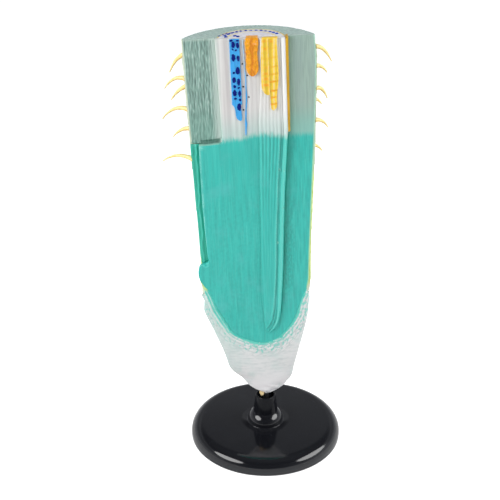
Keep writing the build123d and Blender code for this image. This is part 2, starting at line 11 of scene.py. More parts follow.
import bmesh
import bpy
import numpy as np
from bpy.types import Operator, Panel, PropertyGroup
from mathutils import Matrix, Vector, noise
from mathutils.kdtree import KDTree


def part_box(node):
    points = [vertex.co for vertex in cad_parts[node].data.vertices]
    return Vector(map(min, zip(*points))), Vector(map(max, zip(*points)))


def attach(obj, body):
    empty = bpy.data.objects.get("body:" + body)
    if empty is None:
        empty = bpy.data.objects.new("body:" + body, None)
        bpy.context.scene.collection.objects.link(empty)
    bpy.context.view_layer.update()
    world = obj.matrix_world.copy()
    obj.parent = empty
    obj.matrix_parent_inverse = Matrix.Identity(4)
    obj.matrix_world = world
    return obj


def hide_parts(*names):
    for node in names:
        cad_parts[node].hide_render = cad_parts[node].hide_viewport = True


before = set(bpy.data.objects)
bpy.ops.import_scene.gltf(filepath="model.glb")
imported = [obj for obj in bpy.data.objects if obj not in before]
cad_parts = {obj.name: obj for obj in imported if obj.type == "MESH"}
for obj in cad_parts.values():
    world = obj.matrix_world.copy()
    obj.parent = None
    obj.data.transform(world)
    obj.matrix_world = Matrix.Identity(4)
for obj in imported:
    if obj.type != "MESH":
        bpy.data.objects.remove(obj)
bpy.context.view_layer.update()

bl_info = {
    "name": "Root Model Builder",
    "version": (1, 0, 0),
    "blender": (4, 5, 0),
    "location": "3D View > Sidebar > Root Model",
    "description": "Models and paints a teaching model of a root tip around its frame",
    "category": "Object",
}

# The root's own frame: it starts at the socket's rim and leans to its left
LEAN = radians(2.5)
MILLIMETRE = 0.001
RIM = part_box("socket_collar")[1].z
ROOT_TO_WORLD = (
    Matrix.Translation((0, 0, RIM)) @ Matrix.Rotation(-LEAN, 4, "Y") @ Matrix.Scale(MILLIMETRE, 4)
)
WORLD_TO_ROOT = ROOT_TO_WORLD.inverted()


def root_box(node):
    """The lowest and highest corner of a CAD node in the root's own millimetres."""
    places = [WORLD_TO_ROOT @ vertex.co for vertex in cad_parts[node].data.vertices]
    return np.min(places, axis=0), np.max(places, axis=0)


# Levels on the root and places on its front
TOP = root_box("top_stele")[1][2]
CAP_TOP = root_box("root_cap")[1][2]
PANEL_BOTTOM = root_box("left_cortex_panel")[0][2]
COLUMN_TIP = root_box("stele_column")[0][2]
PLATE_FRONT = root_box("front_plate")[0][1]
PLATE_LEFT = -50.2
TONGUE_TOP = 140

# Curves as two rows of numbers. The groove right of the column and the column's left edge: height, across
GROOVE = (
    (COLUMN_TIP, 84.4, 93.5, 110, 135, 165, 200, 240, 288, TOP),
    (4.4, 11.4, 16.4, 19.4, 21.6, 23.3, 25, 27.4, 31.2, 31.2),
)
COLUMN_LEFT = ((COLUMN_TIP, 96, 190, 300, 340, TOP), (4.4, 2.6, 3, 5.6, 8.8, 8.8))
# The half width of the column's ridge: height, width
RIDGE_HALF = ((84, 92, 108, 138, 200, TOP), (0.45, 0.9, 1.45, 2.1, 1.9, 1.6))
# The upper end of the turquoise and the plate's upper left edge: across, height
PAINT_EDGE = (
    (-60, -51, -46, -28, -20, -12, -3, 8, 28, 60),
    (277, 279, 281, 281.5, 282.5, 282, 285, 287, 284, 284.5),
)
LEDGE_EDGE = ((PLATE_LEFT, -38.2, -28.6), (276.5, 279.1, 280.8))
# How far the brushed ledge lies below the frame's: across, distance
LEDGE_DROP = ((PLATE_LEFT, -44, -38.2, -28.6), (-1.2, 0.2, 1, 1.8))
# How far the edges of the tongue lie inside the frame's: height, distance
TONGUE_LEFT_IN = (
    (69, 71.4, 77.3, 83, 88, 99, 110, 121, 128.3, 131.5, 136, TONGUE_TOP),
    (1.8, 3.6, 3, 3.9, 6, 7, 6.4, 5.8, 3.8, 2, 1, 0),
)
TONGUE_RIGHT_IN = (
    (69, 74, 84.6, 95, 105.7, 116, 126, 134),
    (1.5, 0.8, 1.1, 3, 3.4, 3, 0.8, 0),
)

# Small nicks in the column, as (distance from the groove, height)
NICKS = ((6, 252), (1.8, 251), (5.6, 178), (1, 214))
# Orange spots of the left sieve tube, as (distance below the top, across, narrowness, strength)
SIEVE_SPOTS = (
    (2.5, 12.9, 0.9, 0.7), (9.5, 13.5, 1, 1), (18.5, 13.4, 0.9, 0.3), (26.6, 13.8, 0.9, 0.55),
    (31.9, 13.6, 0.7, 0.8), (36.5, 13.4, 0.7, 1), (42.1, 13.2, 0.5, 1),
)  # fmt: skip
# Plates between the cells of the right sieve tube, as (distance below the top, strength)
SIEVE_PLATES = (
    (8.8, 0.2), (17.2, 0.25), (25.6, 0.4), (32.2, 0.55), (39, 0.9), (47.3, 1), (53.5, 0.8), (59.7, 1),
)  # fmt: skip
# Vessel mouths on the cross-section, as (across, depth, radius): the ring's left, then three inside it
MOUTHS = (
    (-26.2, -4.6, 1), (-23.4, -0.9, 0.9), (-20.3, 1.9, 1), (-17.2, 3.6, 0.9), (-14.3, 5.4, 0.9),
    (-20.5, -8.1, 1.5), (-12.6, -6.2, 1.6), (-10, -8, 1.4), (20.4, 1, 0.9),
)  # fmt: skip

# The camera's focal length and the photograph's width in pixels, and its sensor's width in millimetres
FOCAL_PIXELS, PHOTO_PIXELS, SENSOR = 1163, 500, 36
# Where the camera stands, and how far it looks down and to its left, in degrees
CAMERA_PLACE = (0, -1, 0.703)
CAMERA_DOWN, CAMERA_TURN = 26.23, 0.91
# The room's light from straight down to straight up, as (place in the ramp, grey), and its tint
ROOM_GREYS = ((0, 0.9), (0.15, 0.75), (0.4, 0.3), (0.545, 0.48), (0.575, 0.2), (0.66, 0.08), (1, 0.2))
ROOM_TINT = (0.96, 0.99, 1.05)


def rgb(*tones):
    """A colour given as it looks on screen, 0 to 255, turned into the linear values that Blender keeps."""
    shares = [tone / 255 for tone in tones]
    return tuple(s / 12.92 if s <= 0.04045 else ((s + 0.055) / 1.055) ** 2.4 for s in shares)


def length(name, millimetres, description):
    """A length property, its default given in millimetres."""
    default = millimetres * MILLIMETRE
    return bpy.props.FloatProperty(
        name=name, description=description, default=default, min=0, precision=5, unit="LENGTH"
    )


def colour(name, tones, description):
    """A colour property, its default given as it looks on screen."""
    return bpy.props.FloatVectorProperty(
        name=name, description=description, default=rgb(*tones), size=3, min=0, max=1, subtype="COLOR"
    )


class RootSizes(PropertyGroup):
    """Sizes of the foot and of the relief that is modelled on the castings."""

    casting_cell: length("Casting cell", 0.8, "Cell size of the large castings")
    relief_cell: length("Relief cell", 0.35, "Cell size of the small reliefs")
    wrinkle_height: length("Wrinkle height", 0.85, "Height of the wrinkles on the left cortex panel")
    streak_height: length("Streak height", 0.2, "Height of the upright streaks on the front")
    brick_height: length("Brick height", 0.28, "Height of the brick-like cells beside the groove")
    rib_height: length("Rib height", 0.3, "Height of the column's ribs at their upper end")
    cap_cell_height: length("Cap cell height", 0.45, "Height of the cells on the root cap")
    skin_cell_height: length("Skin cell height", 0.45, "Height of the long cells on the outer skin")
    groove_depth: length("Ledge groove depth", 2, "Depth of the groove over the plate's ledge")
    foot_radius: length("Foot radius", 76, "Radius of the stand's foot")
    foot_height: length("Foot height", 16.5, "Height of the foot's flat top")
    foot_edge: length("Foot edge", 11.3, "Radius of the foot's rounded edge")
    dome_radius: length("Dome radius", 18.4, "Radius of the dome in the middle of the foot")
    dome_height: length("Dome height", 13, "Height of the dome over the foot's flat top")


class RootColours(PropertyGroup):
    """Colours of the paints and finishes."""

    cortex_left: colour("Left cortex", (139, 172, 161), "Grey-green of the upper left panel")
    cortex_right: colour("Right cortex", (158, 183, 171), "Grey-green of the upper right panel")
    cortex_top: colour("Section cortex", (174, 200, 192), "Grey-green of the cross-section")
    turquoise: colour("Turquoise", (50, 188, 176), "Turquoise of the dividing zone")
    # Also used for painted shade in furrows and the painted shadow beside the groove
    deep_green: colour("Deep green", (34, 156, 136), "Darker green in the furrows")
    # Also used for painted highlights on ridges and edges
    pale_turquoise: colour("Pale turquoise", (100, 220, 204), "Light turquoise of ridges and edges")
    stele: colour("Stele", (226, 225, 222), "Near white of the stele")
    stele_grey: colour("Stele grey", (200, 196, 194), "Grey in the stele's furrows")
    vessel_blue: colour("Vessel blue", (62, 168, 236), "Light blue of the xylem")
    cell_navy: colour("Vessel mouths", (0, 26, 124), "Navy of the vessel mouths")
    pit_black: colour("Pits", (34, 26, 26), "Near black of the small pits")
    phloem_orange: colour("Phloem", (250, 172, 30), "Orange of the companion cells")
    phloem_dark: colour("Phloem furrow", (216, 124, 18), "Dark orange in the furrows")
    sieve_yellow: colour("Sieve tubes", (247, 208, 62), "Yellow of the sieve tubes")
    sieve_orange: colour("Sieve plates", (245, 146, 12), "Orange of the sieve plates")
    ochre: colour("Endodermis", (204, 156, 24), "Ochre of the endodermis strip")
    skin: colour("Outer skin", (222, 230, 146), "Cream of the outer skin")
    skin_shade: colour("Skin furrow", (190, 206, 116), "Green-yellow in the skin's furrows")
    hair: colour("Root hair", (252, 232, 160), "Cream of the root hairs")
    # Painted shade under the hairs
    hair_shade: colour("Hair underside", (228, 184, 92), "Ochre under the root hairs")
    plastic: colour("Black plastic", (20, 21, 25), "Glossy black of the stand")
    wood: colour("Raw wood", (246, 232, 186), "Raw wood of the plug")
    steel: colour("Steel", (150, 150, 152), "Steel of the rod and the screws")
    iron: colour("Iron", (74, 70, 68), "Cast iron of the ballast")


# Shader maths


class Socket:
    """An output of a node that Python's operators do maths on; each operator adds its Math node."""

    def __init__(self, nodes, output):
        self.nodes = nodes
        self.output = output

    def math(self, operation, first, second):
        """The Math node of an operation on two values or sockets."""
        return self.nodes.node("ShaderNodeMath", {"operation": operation}, {0: first, 1: second})

    def __add__(self, other):
        return self.math("ADD", self, other)

    def __sub__(self, other):
        return self.math("SUBTRACT", self, other)

    def __rsub__(self, other):
        return self.math("SUBTRACT", other, self)

    def __mul__(self, other):
        return self.math("MULTIPLY", self, other)

    __radd__ = __add__
    __rmul__ = __mul__

    def step(self, start, end):
        """0 where the value is at the start, 1 at the end, and smooth between them."""
        settings = {"interpolation_type": "SMOOTHSTEP"}
        return self.nodes.node("ShaderNodeMapRange", settings, {0: self, 1: start, 2: end})


class Nodes:
    """The nodes of a material or of the world under construction."""

    def __init__(self, tree):
        self.tree = tree

    def give(self, socket, value):
        """Links another node's output to a socket, or sets a plain value on it."""
        if isinstance(value, Socket):
            self.tree.links.new(value.output, socket)
        else:
            socket.default_value = value

    def node(self, kind, settings, inputs, output=0):
        """Adds a node with its settings first, then the values or links of its sockets."""
        node = self.tree.nodes.new(kind)
        for key, value in settings.items():
            if key == "stops":
                elements = node.color_ramp.elements
                while len(elements) < len(value):
                    elements.new(0.5)
                for element, (place, tint) in zip(elements, value):
                    element.position, element.color = place, tint
            else:
                setattr(node, key, value)
        for key, value in inputs.items():
            self.give(node.inputs[key], value)
        return Socket(self, node.outputs[output])

    def part(self, vector, number):
        """One of the three numbers of a vector."""
        return self.node("ShaderNodeSeparateXYZ", {}, {0: vector}, number)

    def ray(self, name):
        """1 for one kind of ray, 0 for the others."""
        return self.node("ShaderNodeLightPath", {}, {}, f"Is {name} Ray")


class Paint(Nodes):
    """A material under construction."""

    def __init__(self, name, roughness=0.5, specular=0.5):
        self.material = bpy.data.materials.new(name)
        self.material.use_nodes = True
        super().__init__(self.material.node_tree)
        self.tree.nodes.clear()
        self.shader = self.tree.nodes.new("ShaderNodeBsdfPrincipled")
        self.roughness = roughness
        self.feed("Roughness", roughness)
        self.feed("Specular IOR Level", specular)
        self.output = self.tree.nodes.new("ShaderNodeOutputMaterial")
        self.tree.links.new(self.shader.outputs[0], self.output.inputs[0])

    def feed(self, name, value):
        """Gives a varying value or colour, or a plain one, to a socket of the shader."""
        self.give(self.shader.inputs[name], value)

    @cached_property
    def place(self):
        """Object coordinates, in metres."""
        return self.node("ShaderNodeTexCoord", {}, {}, "Object")

    @cached_property
    def root(self):
        """Places in the root's own millimetres."""
        inputs = {"Location": (0, 0, RIM), "Rotation": (0, -LEAN, 0), "Scale": (MILLIMETRE,) * 3}
        return self.node("ShaderNodeMapping", {"vector_type": "TEXTURE"}, {"Vector": self.place, **inputs})

    @cached_property
    def across(self):
        return self.part(self.root, 0)

    @cached_property
    def height(self):
        return self.part(self.root, 2)

    def cloud(self, scale, detail=3, place=None):
        """Smooth noise, about 0 to 1; a scale of three numbers draws it out along an axis."""
        place = place or self.root
        if isinstance(scale, tuple):
            place = self.node("ShaderNodeVectorMath", {"operation": "MULTIPLY"}, {0: place, 1: scale})
            scale = 1
        inputs = {"Vector": place, "Scale": scale, "Detail": detail, "Roughness": 0.55}
        return self.node("ShaderNodeTexNoise", {}, inputs)

    def streaks(self, across_scale, height_scale):
        """Noise drawn out along the root's height, about 0 to 1."""
        return self.cloud((across_scale, across_scale, height_scale))

    def __getitem__(self, name):
        """A number that the mesh holds at each vertex."""
        return self.node("ShaderNodeAttribute", {"attribute_name": name}, {}, "Fac")

    def mix(self, factor, first, second):
        """Two colours mixed by a factor."""
        pair = [value if isinstance(value, Socket) else (*value[:3], 1) for value in (first, second)]
        return self.node("ShaderNodeMix", {"data_type": "RGBA"}, {0: factor, 6: pair[0], 7: pair[1]}, 2)

    def coats(self, shade, *coats):
        """A colour with others mixed over it one after another, each given as (mask, colour)."""
        for mask, over in coats:
            shade = self.mix(mask, shade, over)
        return shade

    def bump(self, height, strength, distance):
        """Feeds a bump made from a height to the shader."""
        inputs = {"Height": height, "Strength": strength, "Distance": distance}
        self.feed("Normal", self.node("ShaderNodeBump", {}, inputs))

    def brushed(self, shade, *coats):
        """Finishes brushed paint: its coats, the bump of its uneven skin and its uneven gloss."""
        self.feed("Base Color", self.coats(shade, *coats))
        self.bump(self.cloud(1.6, 4), 0.25, 0.0002)
        self.feed("Roughness", self.cloud(0.12) * 0.25 + (self.roughness - 0.12))
        return self


def darker(tones, share):
    """A colour at a share of its light."""
    return tuple(value * share for value in tones)


# Mesh work in the root's own millimetres


def ease(value, start, end):
    """0 at the start, 1 at the end and smooth between them, for arrays."""
    share = np.clip((value - start) / (end - start), 0, 1)
    return share * share * (3 - 2 * share)


def hill(value, middle, width):
    """1 at the middle, falling off smoothly over a width on both sides, for arrays."""
    return np.exp(-(((value - middle) / width) ** 2))


def spot(across, along, width):
    """A round hill at distances across and along."""
    return hill(np.hypot(across, along), 0, width)


def between(curve, values):
    """A curve given as two rows of numbers, read at values of its first row."""
    return np.interp(values, *curve)


def rounded(curve, heights):
    """The across value of a curve over the height, rounded between its points."""
    steps = np.linspace(curve[0][0], curve[0][-1], 600)
    padded = np.pad(between(curve, steps), 8, mode="edge")
    return np.interp(heights, steps, np.convolve(padded, np.ones(17) / 17, mode="valid"))


def wander(places, scale, seed=0):
    """Smooth noise from about -1 to 1 at each place; the scale is the size of its waves along each axis."""
    return np.array([noise.noise(place) for place in (places / np.array(scale) + seed).tolist()])


def cell_walls(places, scale, seed):
    """0 on the walls between scattered cells, growing towards each cell's middle."""
    nearest = np.array([noise.voronoi(place)[0] for place in (places / np.array(scale) + seed).tolist()])
    return nearest[:, 1] - nearest[:, 0]


def mesh_from(bm, name):
    """A mesh with the shape of a bmesh, which it frees."""
    mesh = bpy.data.meshes.new(name)
    bm.to_mesh(mesh)
    bm.free()
    return mesh


def added(name, data):
    """A new object in the scene."""
    thing = bpy.data.objects.new(name, data)
    bpy.context.scene.collection.objects.link(thing)
    return thing


def copied(*nodes):
    """A bmesh of CAD nodes' surfaces in the root's own millimetres, its doubles merged."""
    bm = bmesh.new()
    for node in nodes:
        bm.from_mesh(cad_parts[node].data)
    bmesh.ops.transform(bm, matrix=WORLD_TO_ROOT, verts=bm.verts)
    bmesh.ops.remove_doubles(bm, verts=bm.verts, dist=0.001)
    return bm


def joined(bm, other):
    """A bmesh with another one added, which is freed."""
    mesh = mesh_from(other, "other")
    bm.from_mesh(mesh)
    bpy.data.meshes.remove(mesh)
    return bm


def cut_off(bm, place, way):
    """Takes off what lies past a plane and closes the cut."""
    geometry = [*bm.verts, *bm.edges, *bm.faces]
    cut = bmesh.ops.bisect_plane(bm, geom=geometry, plane_co=place, plane_no=way, clear_outer=True)
    edges = [edge for edge in cut["geom_cut"] if isinstance(edge, bmesh.types.BMEdge)]
    bmesh.ops.holes_fill(bm, edges=[edge for edge in edges if edge.is_boundary])


def tongue_piece(node):
    """The front plate or the right panel, the tongue's edge moved to where its paint ends, and that edge."""
    bm = copied(node)
    seam = GROOVE[1][0]
    edge = []
    for vertex in bm.verts:
        across, _, height = vertex.co
        if height > TONGUE_TOP:
            continue
        beside_column = height > COLUMN_TIP - 1
        if across < (-15 if beside_column else seam - 0.1):
            vertex.co.x += between(TONGUE_LEFT_IN, height)
        elif across > between(GROOVE, height) + (4 if beside_column else 1):
            vertex.co.x -= between(TONGUE_RIGHT_IN, height)
        else:
            continue
        edge.append((height, vertex.co.x))
    return bm, sorted(edge)


def spun(name, profile, paint):
    """A closed ring turned about the stand's axis from a profile of (radius, height) points."""
    bm = bmesh.new()
    points = [bm.verts.new((radius * MILLIMETRE, 0, height * MILLIMETRE)) for radius, height in profile]
    edges = [bm.edges.new(pair) for pair in zip(points, points[1:] + points[:1])]
    bmesh.ops.spin(
        bm, geom=[*points, *edges], axis=(0, 0, 1), cent=(0, 0, 0), angle=2 * pi, steps=144, use_merge=True
    )
    bmesh.ops.recalc_face_normals(bm, faces=bm.faces)
    mesh = mesh_from(bm, name)
    mesh.materials.append(paint.material)
    mesh.shade_smooth()
    return added(name, mesh)


def arc(middle, radius, start, end, steps):
    """Points of a round corner in a profile, its angles in degrees from the outward direction."""
    angles = np.radians(np.linspace(start, end, steps + 1))
    return [(middle[0] + radius * cos(angle), middle[1] + radius * sin(angle)) for angle in angles]


class Casting:
    """A closed mesh of even cells in the root's own millimetres, with soft edges."""

    def __init__(self, cell, *nodes, shape=None, smoothing=2):
        self.nodes = nodes
        source = mesh_from(shape or copied(*nodes), "casting")
        holder = added("casting", source)
        remesh = holder.modifiers.new("Even cells", "REMESH")
        remesh.mode = "VOXEL"
        remesh.voxel_size = cell
        if smoothing:
            soften = holder.modifiers.new("Soft edges", "SMOOTH")
            soften.factor = 0.5
            soften.iterations = smoothing
        graph = bpy.context.evaluated_depsgraph_get()
        self.mesh = bpy.data.meshes.new_from_object(holder.evaluated_get(graph))
        bpy.data.objects.remove(holder)
        bpy.data.meshes.remove(source)
        self.place = self.rows(self.mesh.vertices, "co")
        self.normal = self.rows(self.mesh.vertex_normals, "vector")

    @staticmethod
    def rows(items, name):
        """The vectors of a mesh as rows of an array."""
        numbers = np.empty(len(items) * 3, np.float32)
        items.foreach_get(name, numbers)
        return numbers.reshape(-1, 3).astype(float)

    def wander(self, scale, seed=0):
        """Smooth noise from about -1 to 1 at each vertex."""
        return wander(self.place, scale, seed)

    def front(self):
        """1 on faces that look to the front, 0 on the others."""
        return ease(-self.normal[:, 1], 0.25, 0.8)

    def raise_front(self, relief):
        """Moves the front outwards by a relief."""
        self.place[:, 1] -= relief * self.front()

    def raise_all(self, relief):
        """Moves the surface outwards by a relief."""
        self.place += self.normal * np.asarray(relief)[:, None]

    def above_paint(self):
        """How far each vertex lies above the turquoise."""
        return self.place[:, 2] - between(PAINT_EDGE, self.place[:, 0])

    def from_side(self, side):
        """How far each vertex lies inside the outermost one at its height, at the left (-1) or right (1)."""
        across, _, height = self.place.T
        rows = ((height - height.min()) / 1.5).astype(int)
        outermost = np.full(rows.max() + 1, -1e9)
        np.maximum.at(outermost, rows, across * side)
        return outermost[rows] - across * side

    def lower_ledge(self):
        """Moves what lies at the plate's upper left edge down to where the brushed edge lies."""
        across, _, height = self.place.T
        to_edge = abs(height - between(LEDGE_EDGE, across))
        height -= ease(to_edge, 16, 4) * ease(across, -27.5, -28.9) * between(LEDGE_DROP, across)

    def close_seam(self, side):
        """Moves the wall under the column's tip over the seam, so that both panels meet in one surface."""
        across, _, height = self.place.T
        wall = ease(abs(across - GROOVE[1][0]), 2.2, 1.2) * ease(height, COLUMN_TIP + 4, COLUMN_TIP + 1)
        across += side * 1.5 * wall

    def keep(self, **numbers):
        """Keeps numbers at each vertex for the paint."""
        for name, values in numbers.items():
            attribute = self.mesh.attributes.new(name, "FLOAT", "POINT")
            attribute.data.foreach_set("value", np.asarray(values, np.float32))

    def finish(self, name, slot, paint, **numbers):
        """Puts the piece on the root, in metres, instead of its CAD nodes, with numbers for its paint."""
        self.keep(**numbers)
        mesh = self.mesh
        mesh.vertices.foreach_set("co", self.place.astype(np.float32).ravel())
        mesh.transform(ROOT_TO_WORLD)
        mesh.shade_smooth()
        mesh.update()
        mesh.name = name
        mesh.materials.clear()
        mesh.materials.append(paint.material)
        piece = added(name, mesh)
        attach(piece, "root_model")
        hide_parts(*self.nodes)


def end_cover(low, high, cell, waves=2.5, swing=0.3):
    """A thin worn cover between two corners, where a tissue shows on the cross-section."""
    low, high = Vector(low), Vector(high)
    bm = bmesh.new()
    bmesh.ops.create_cube(bm, size=1)
    bmesh.ops.scale(bm, vec=high - low, verts=bm.verts)
    bmesh.ops.translate(bm, vec=(high + low) / 2, verts=bm.verts)
    bmesh.ops.bevel(
        bm, geom=list(bm.edges), offset=0.3, affect="EDGES", segments=3, profile=0.5, material=-1
    )
    cover = Casting(cell, shape=bm)
    cover.raise_all(cover.wander((waves,) * 3) * swing)
    return cover


def finish_nodes(paint, *nodes):
    """Gives CAD nodes their finish."""
    for node in nodes:
        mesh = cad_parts[node].data
        mesh.materials.clear()
        mesh.materials.append(paint.material)


# Paints


def brushed_edge(paint, white, green):
    """White or grey above the brushed upper edge of the turquoise, green below it."""
    above = paint["above"]
    white = paint.mix(above.step(30, 0) * 0.42, white, rgb(140, 200, 190))
    brush = (paint.streaks(0.7, 0.12) - 0.5) * 8
    return paint.mix((above + brush).step(-3.5, 4.5), green, white)


def turquoise_shade(paint, colours):
    """Turquoise with painted shade in its furrows, painted highlights on its ridges and edges, and slight
    blotches.
    """
    relief = paint["relief"]
    pale = colours.pale_turquoise
    fleck = paint.cloud(0.9, 2).step(0.3, 0.62)
    return paint.coats(
        darker(colours.turquoise, 0.72),
        # Painted shade in the furrows, painted highlight on the ridges
        (relief.step(-1.1, 0.5), colours.turquoise),
        (relief.step(0.3, 1.4) * 0.35, pale),
        (paint.streaks(1.1, 0.04).step(0.62, 0.8) * 0.3, pale),
        (paint.streaks(2, 0.03).step(0.48, 0.7) * 0.3, pale),
        (paint.cloud(0.05).step(0.5, 0.75) * 0.4, rgb(84, 190, 186)),
        # Pale turquoise on the nicks, which is wear and painted highlight, and painted highlights along edges
        # and lips
        (paint["worn"] * (fleck * 0.6 + 0.25), rgb(150, 228, 214)),
    )


def cortex_left_paint(colours):
    """Grey-green, pale towards the stele, with painted highlights on the ridges of the wrinkles, painted
    shade in their furrows and painted shade in the ledge's groove.
    """
    paint = Paint("left cortex paint", 0.45)
    relief = paint["relief"]
    shade = paint.coats(
        darker(colours.cortex_left, 0.66),
        (relief.step(-1, 0.3), colours.cortex_left),
        (relief.step(0.2, 0.9) * 0.6, rgb(188, 212, 204)),
        (paint.cloud(0.045).step(0.5, 0.8) * 0.3, rgb(124, 162, 150)),
        (paint.height.step(330, 285) * 0.45, darker(rgb(112, 166, 150), 0.95)),
        (paint.across.step(-38, -29) * 0.85, rgb(206, 221, 213)),
        (paint.height.step(TOP - 3, TOP) * 0.5, rgb(190, 208, 199)),
        # Painted shade in the groove over the ledge
        (paint["groove"] * 0.65, rgb(96, 140, 128)),
        (paint["edge"] * 0.75, rgb(216, 220, 196)),
    )
    green = paint.mix(relief.step(-1, 0.8), colours.deep_green, colours.turquoise)
    green = paint.mix(paint["above"].step(-6, 4), green, shade)
    return paint.brushed(paint.mix(paint.across.step(PLATE_LEFT + 0.5, PLATE_LEFT - 1.5), shade, green))


def front_plate_paint(colours):
    """Near white stele above, turquoise below, and a painted highlight along the plate's upper edge."""
    paint = Paint("front plate paint", 0.4)
    white = paint.coats(
        colours.stele_grey,
        (paint.streaks(0.28, 0.004).step(0.3, 0.65), colours.stele),
        (paint.streaks(1.3, 0.03).step(0.55, 0.75) * 0.15, colours.stele_grey),
        (paint.across.step(-25.5, -29.5) * 0.6, rgb(206, 220, 211)),
    )
    shade = brushed_edge(paint, white, turquoise_shade(paint, colours))
    # The ledge mark is a painted highlight on the plate's upper edge
    return paint.brushed(paint.mix(paint["ledge"], shade, rgb(158, 202, 186)))


def column_paint(colours):
    """Near white ribs above and turquoise ribs below, with painted shade in their furrows and a painted
    highlight on the ridge.
    """
    paint = Paint("column paint", 0.36)
    relief, ridge = paint["relief"], paint["ridge"]
    white = paint.mix(relief.step(-1.4, 0.5), rgb(214, 211, 209), colours.stele)
    white = paint.mix(ridge * 0.8, white, rgb(246, 247, 246))
    green = paint.mix(ridge * 0.55, turquoise_shade(paint, colours), colours.pale_turquoise)
    return paint.brushed(brushed_edge(paint, white, green))


def cortex_right_paint(colours):
    """Grey-green above, turquoise with brick-like cells below, the skin's cream on its outer edge, and a
    painted shadow right of the groove.
    """
    paint = Paint("right cortex paint", 0.42)
    grey = paint.coats(
        darker(colours.cortex_right, 0.82),
        (paint.streaks(1.2, 0.04).step(0.35, 0.62), colours.cortex_right),
        (paint.streaks(0.12, 0.01).step(0.45, 0.65) * 0.5, rgb(150, 172, 166)),
        (paint["above"].step(34, 4) * 0.45, rgb(112, 184, 168)),
    )
    skin = paint.mix(paint.height.step(240, 300), rgb(190, 224, 160), rgb(160, 208, 184))
    return paint.brushed(
        brushed_edge(paint, grey, turquoise_shade(paint, colours)),
        # Painted shadow right of the groove
        (paint["shadow"] * 0.7, darker(colours.deep_green, 0.85)),
        (paint["rim"] * 0.75, skin),
    )


def edge_strip_paint(colours):
    """Green with painted shade in its furrows and a painted highlight on its wavy ridge, grey-green at its
    upper end.
    """
    paint = Paint("edge strip paint", 0.4)
    relief = paint["relief"]
    shade = paint.mix(relief.step(-0.6, 0.7), rgb(36, 172, 148), rgb(54, 190, 166))
    shade = paint.mix(relief.step(0.5, 1.3) * 0.35, shade, colours.pale_turquoise)
    grey = paint.mix(relief.step(-0.6, 0.7), darker(colours.cortex_left, 0.8), colours.cortex_left)
    return paint.brushed(brushed_edge(paint, grey, shade))


def cap_paint():
    """Near white cells with turquoise between them close to the dividing zone, painted shade between the
    cells, painted light towards the tip and a painted shade line low on the tip.
    """
    paint = Paint("cap paint", 0.5)
    relief, wash, near = (paint[name] for name in ("relief", "wash", "flecks"))
    left = paint.across.step(-18, -34) * paint.height.step(40, 80)
    green = paint.mix(wash.step(0.2, 0.8), rgb(112, 214, 196), rgb(72, 198, 182))
    brush = paint.streaks(0.4, 0.25)
    fleck = paint.cloud((0.42, 0.42, 0.3), 2)
    flecks = (fleck + near * 0.2 - relief * 0.07).step(0.63, 0.72)
    return paint.brushed(
        rgb(200, 206, 205),
        # Painted shade between the cells
        (relief.step(-1, 0.4), rgb(226, 227, 226)),
        # Painted light: whiter towards the tip
        (paint.height.step(46, 10), rgb(252, 249, 250)),
        (paint.cloud(0.06).step(0.45, 0.7) * 0.35, rgb(190, 214, 209)),
        (left * 0.5, rgb(190, 218, 210)),
        ((wash + (brush - 0.5) * 0.5 - relief * 0.3).step(0.22, 0.9), green),
        (flecks * near.step(0, 0.3) * 0.7, rgb(104, 208, 192)),
        (paint["skin_tint"] * 0.8, rgb(206, 222, 132)),
        # A painted shade line in the crease low on the tip
        (paint["tip_line"] * 0.5, rgb(176, 170, 184)),
    )


def skin_paint(colours):
    """Cream skin, greener in its furrows and grey-green where the front's paint overlaps."""
    paint = Paint("skin paint", 0.46)
    across, height, depth = paint.across, paint.height, paint.part(paint.root, 1)
    high = (height + (paint.streaks(0.4, 0.05) - 0.5) * 30).step(228, 262)
    low = (height + (paint.cloud(0.1) - 0.5) * 16).step(139, 125)
    beside_strip = across.step(-20, -36) * depth.step(-1, -4)
    beside_strip = beside_strip * height.step(158, 166) * height.step(279, 274)
    return paint.brushed(
        colours.skin_shade,
        (paint["relief"].step(-0.9, 0.6), colours.skin),
        (paint.streaks(0.03, 0.015).step(0.45, 0.7) * 0.35, rgb(238, 234, 184)),
        (high * depth.step(2, -3) * 0.85, rgb(184, 200, 186)),
        (beside_strip, rgb(72, 184, 158)),
        (low * 0.9, rgb(224, 226, 214)),
    )


def shaded_relief_paint(name, dark, light, roughness=0.4, specular=0.4):
    """A paint that is dark in the furrows of its piece and light on the raised parts: painted shade and
    painted highlight.
    """
    paint = Paint(name, roughness, specular)
    shade = paint.mix(paint["relief"].step(-0.9, 0.5), dark, light)
    lighter = tuple(min(value * 1.25, 1) for value in light)
    return paint.brushed(paint.mix(paint.cloud(0.45).step(0.5, 0.75) * 0.35, shade, lighter))


def marked_paint(name, base, mark, roughness=0.36):
    """A paint with a second colour where the mesh is marked, painted shade in its furrows and a painted
    highlight on its raised parts.
    """
    paint = Paint(name, roughness, 0.4)
    relief = paint["relief"]
    blotch = paint.cloud(0.7).step(0.3, 0.6)
    return paint.brushed(
        # Painted shade in the furrows, painted highlight on the raised parts
        darker(base, 0.77),
        (relief.step(-1, 0.4), base),
        (relief.step(0.3, 1.2) * 0.65, tuple(value + (1 - value) * 0.4 for value in base)),
        (paint["mark"] * (blotch * 0.5 + 0.5), mark),
    )


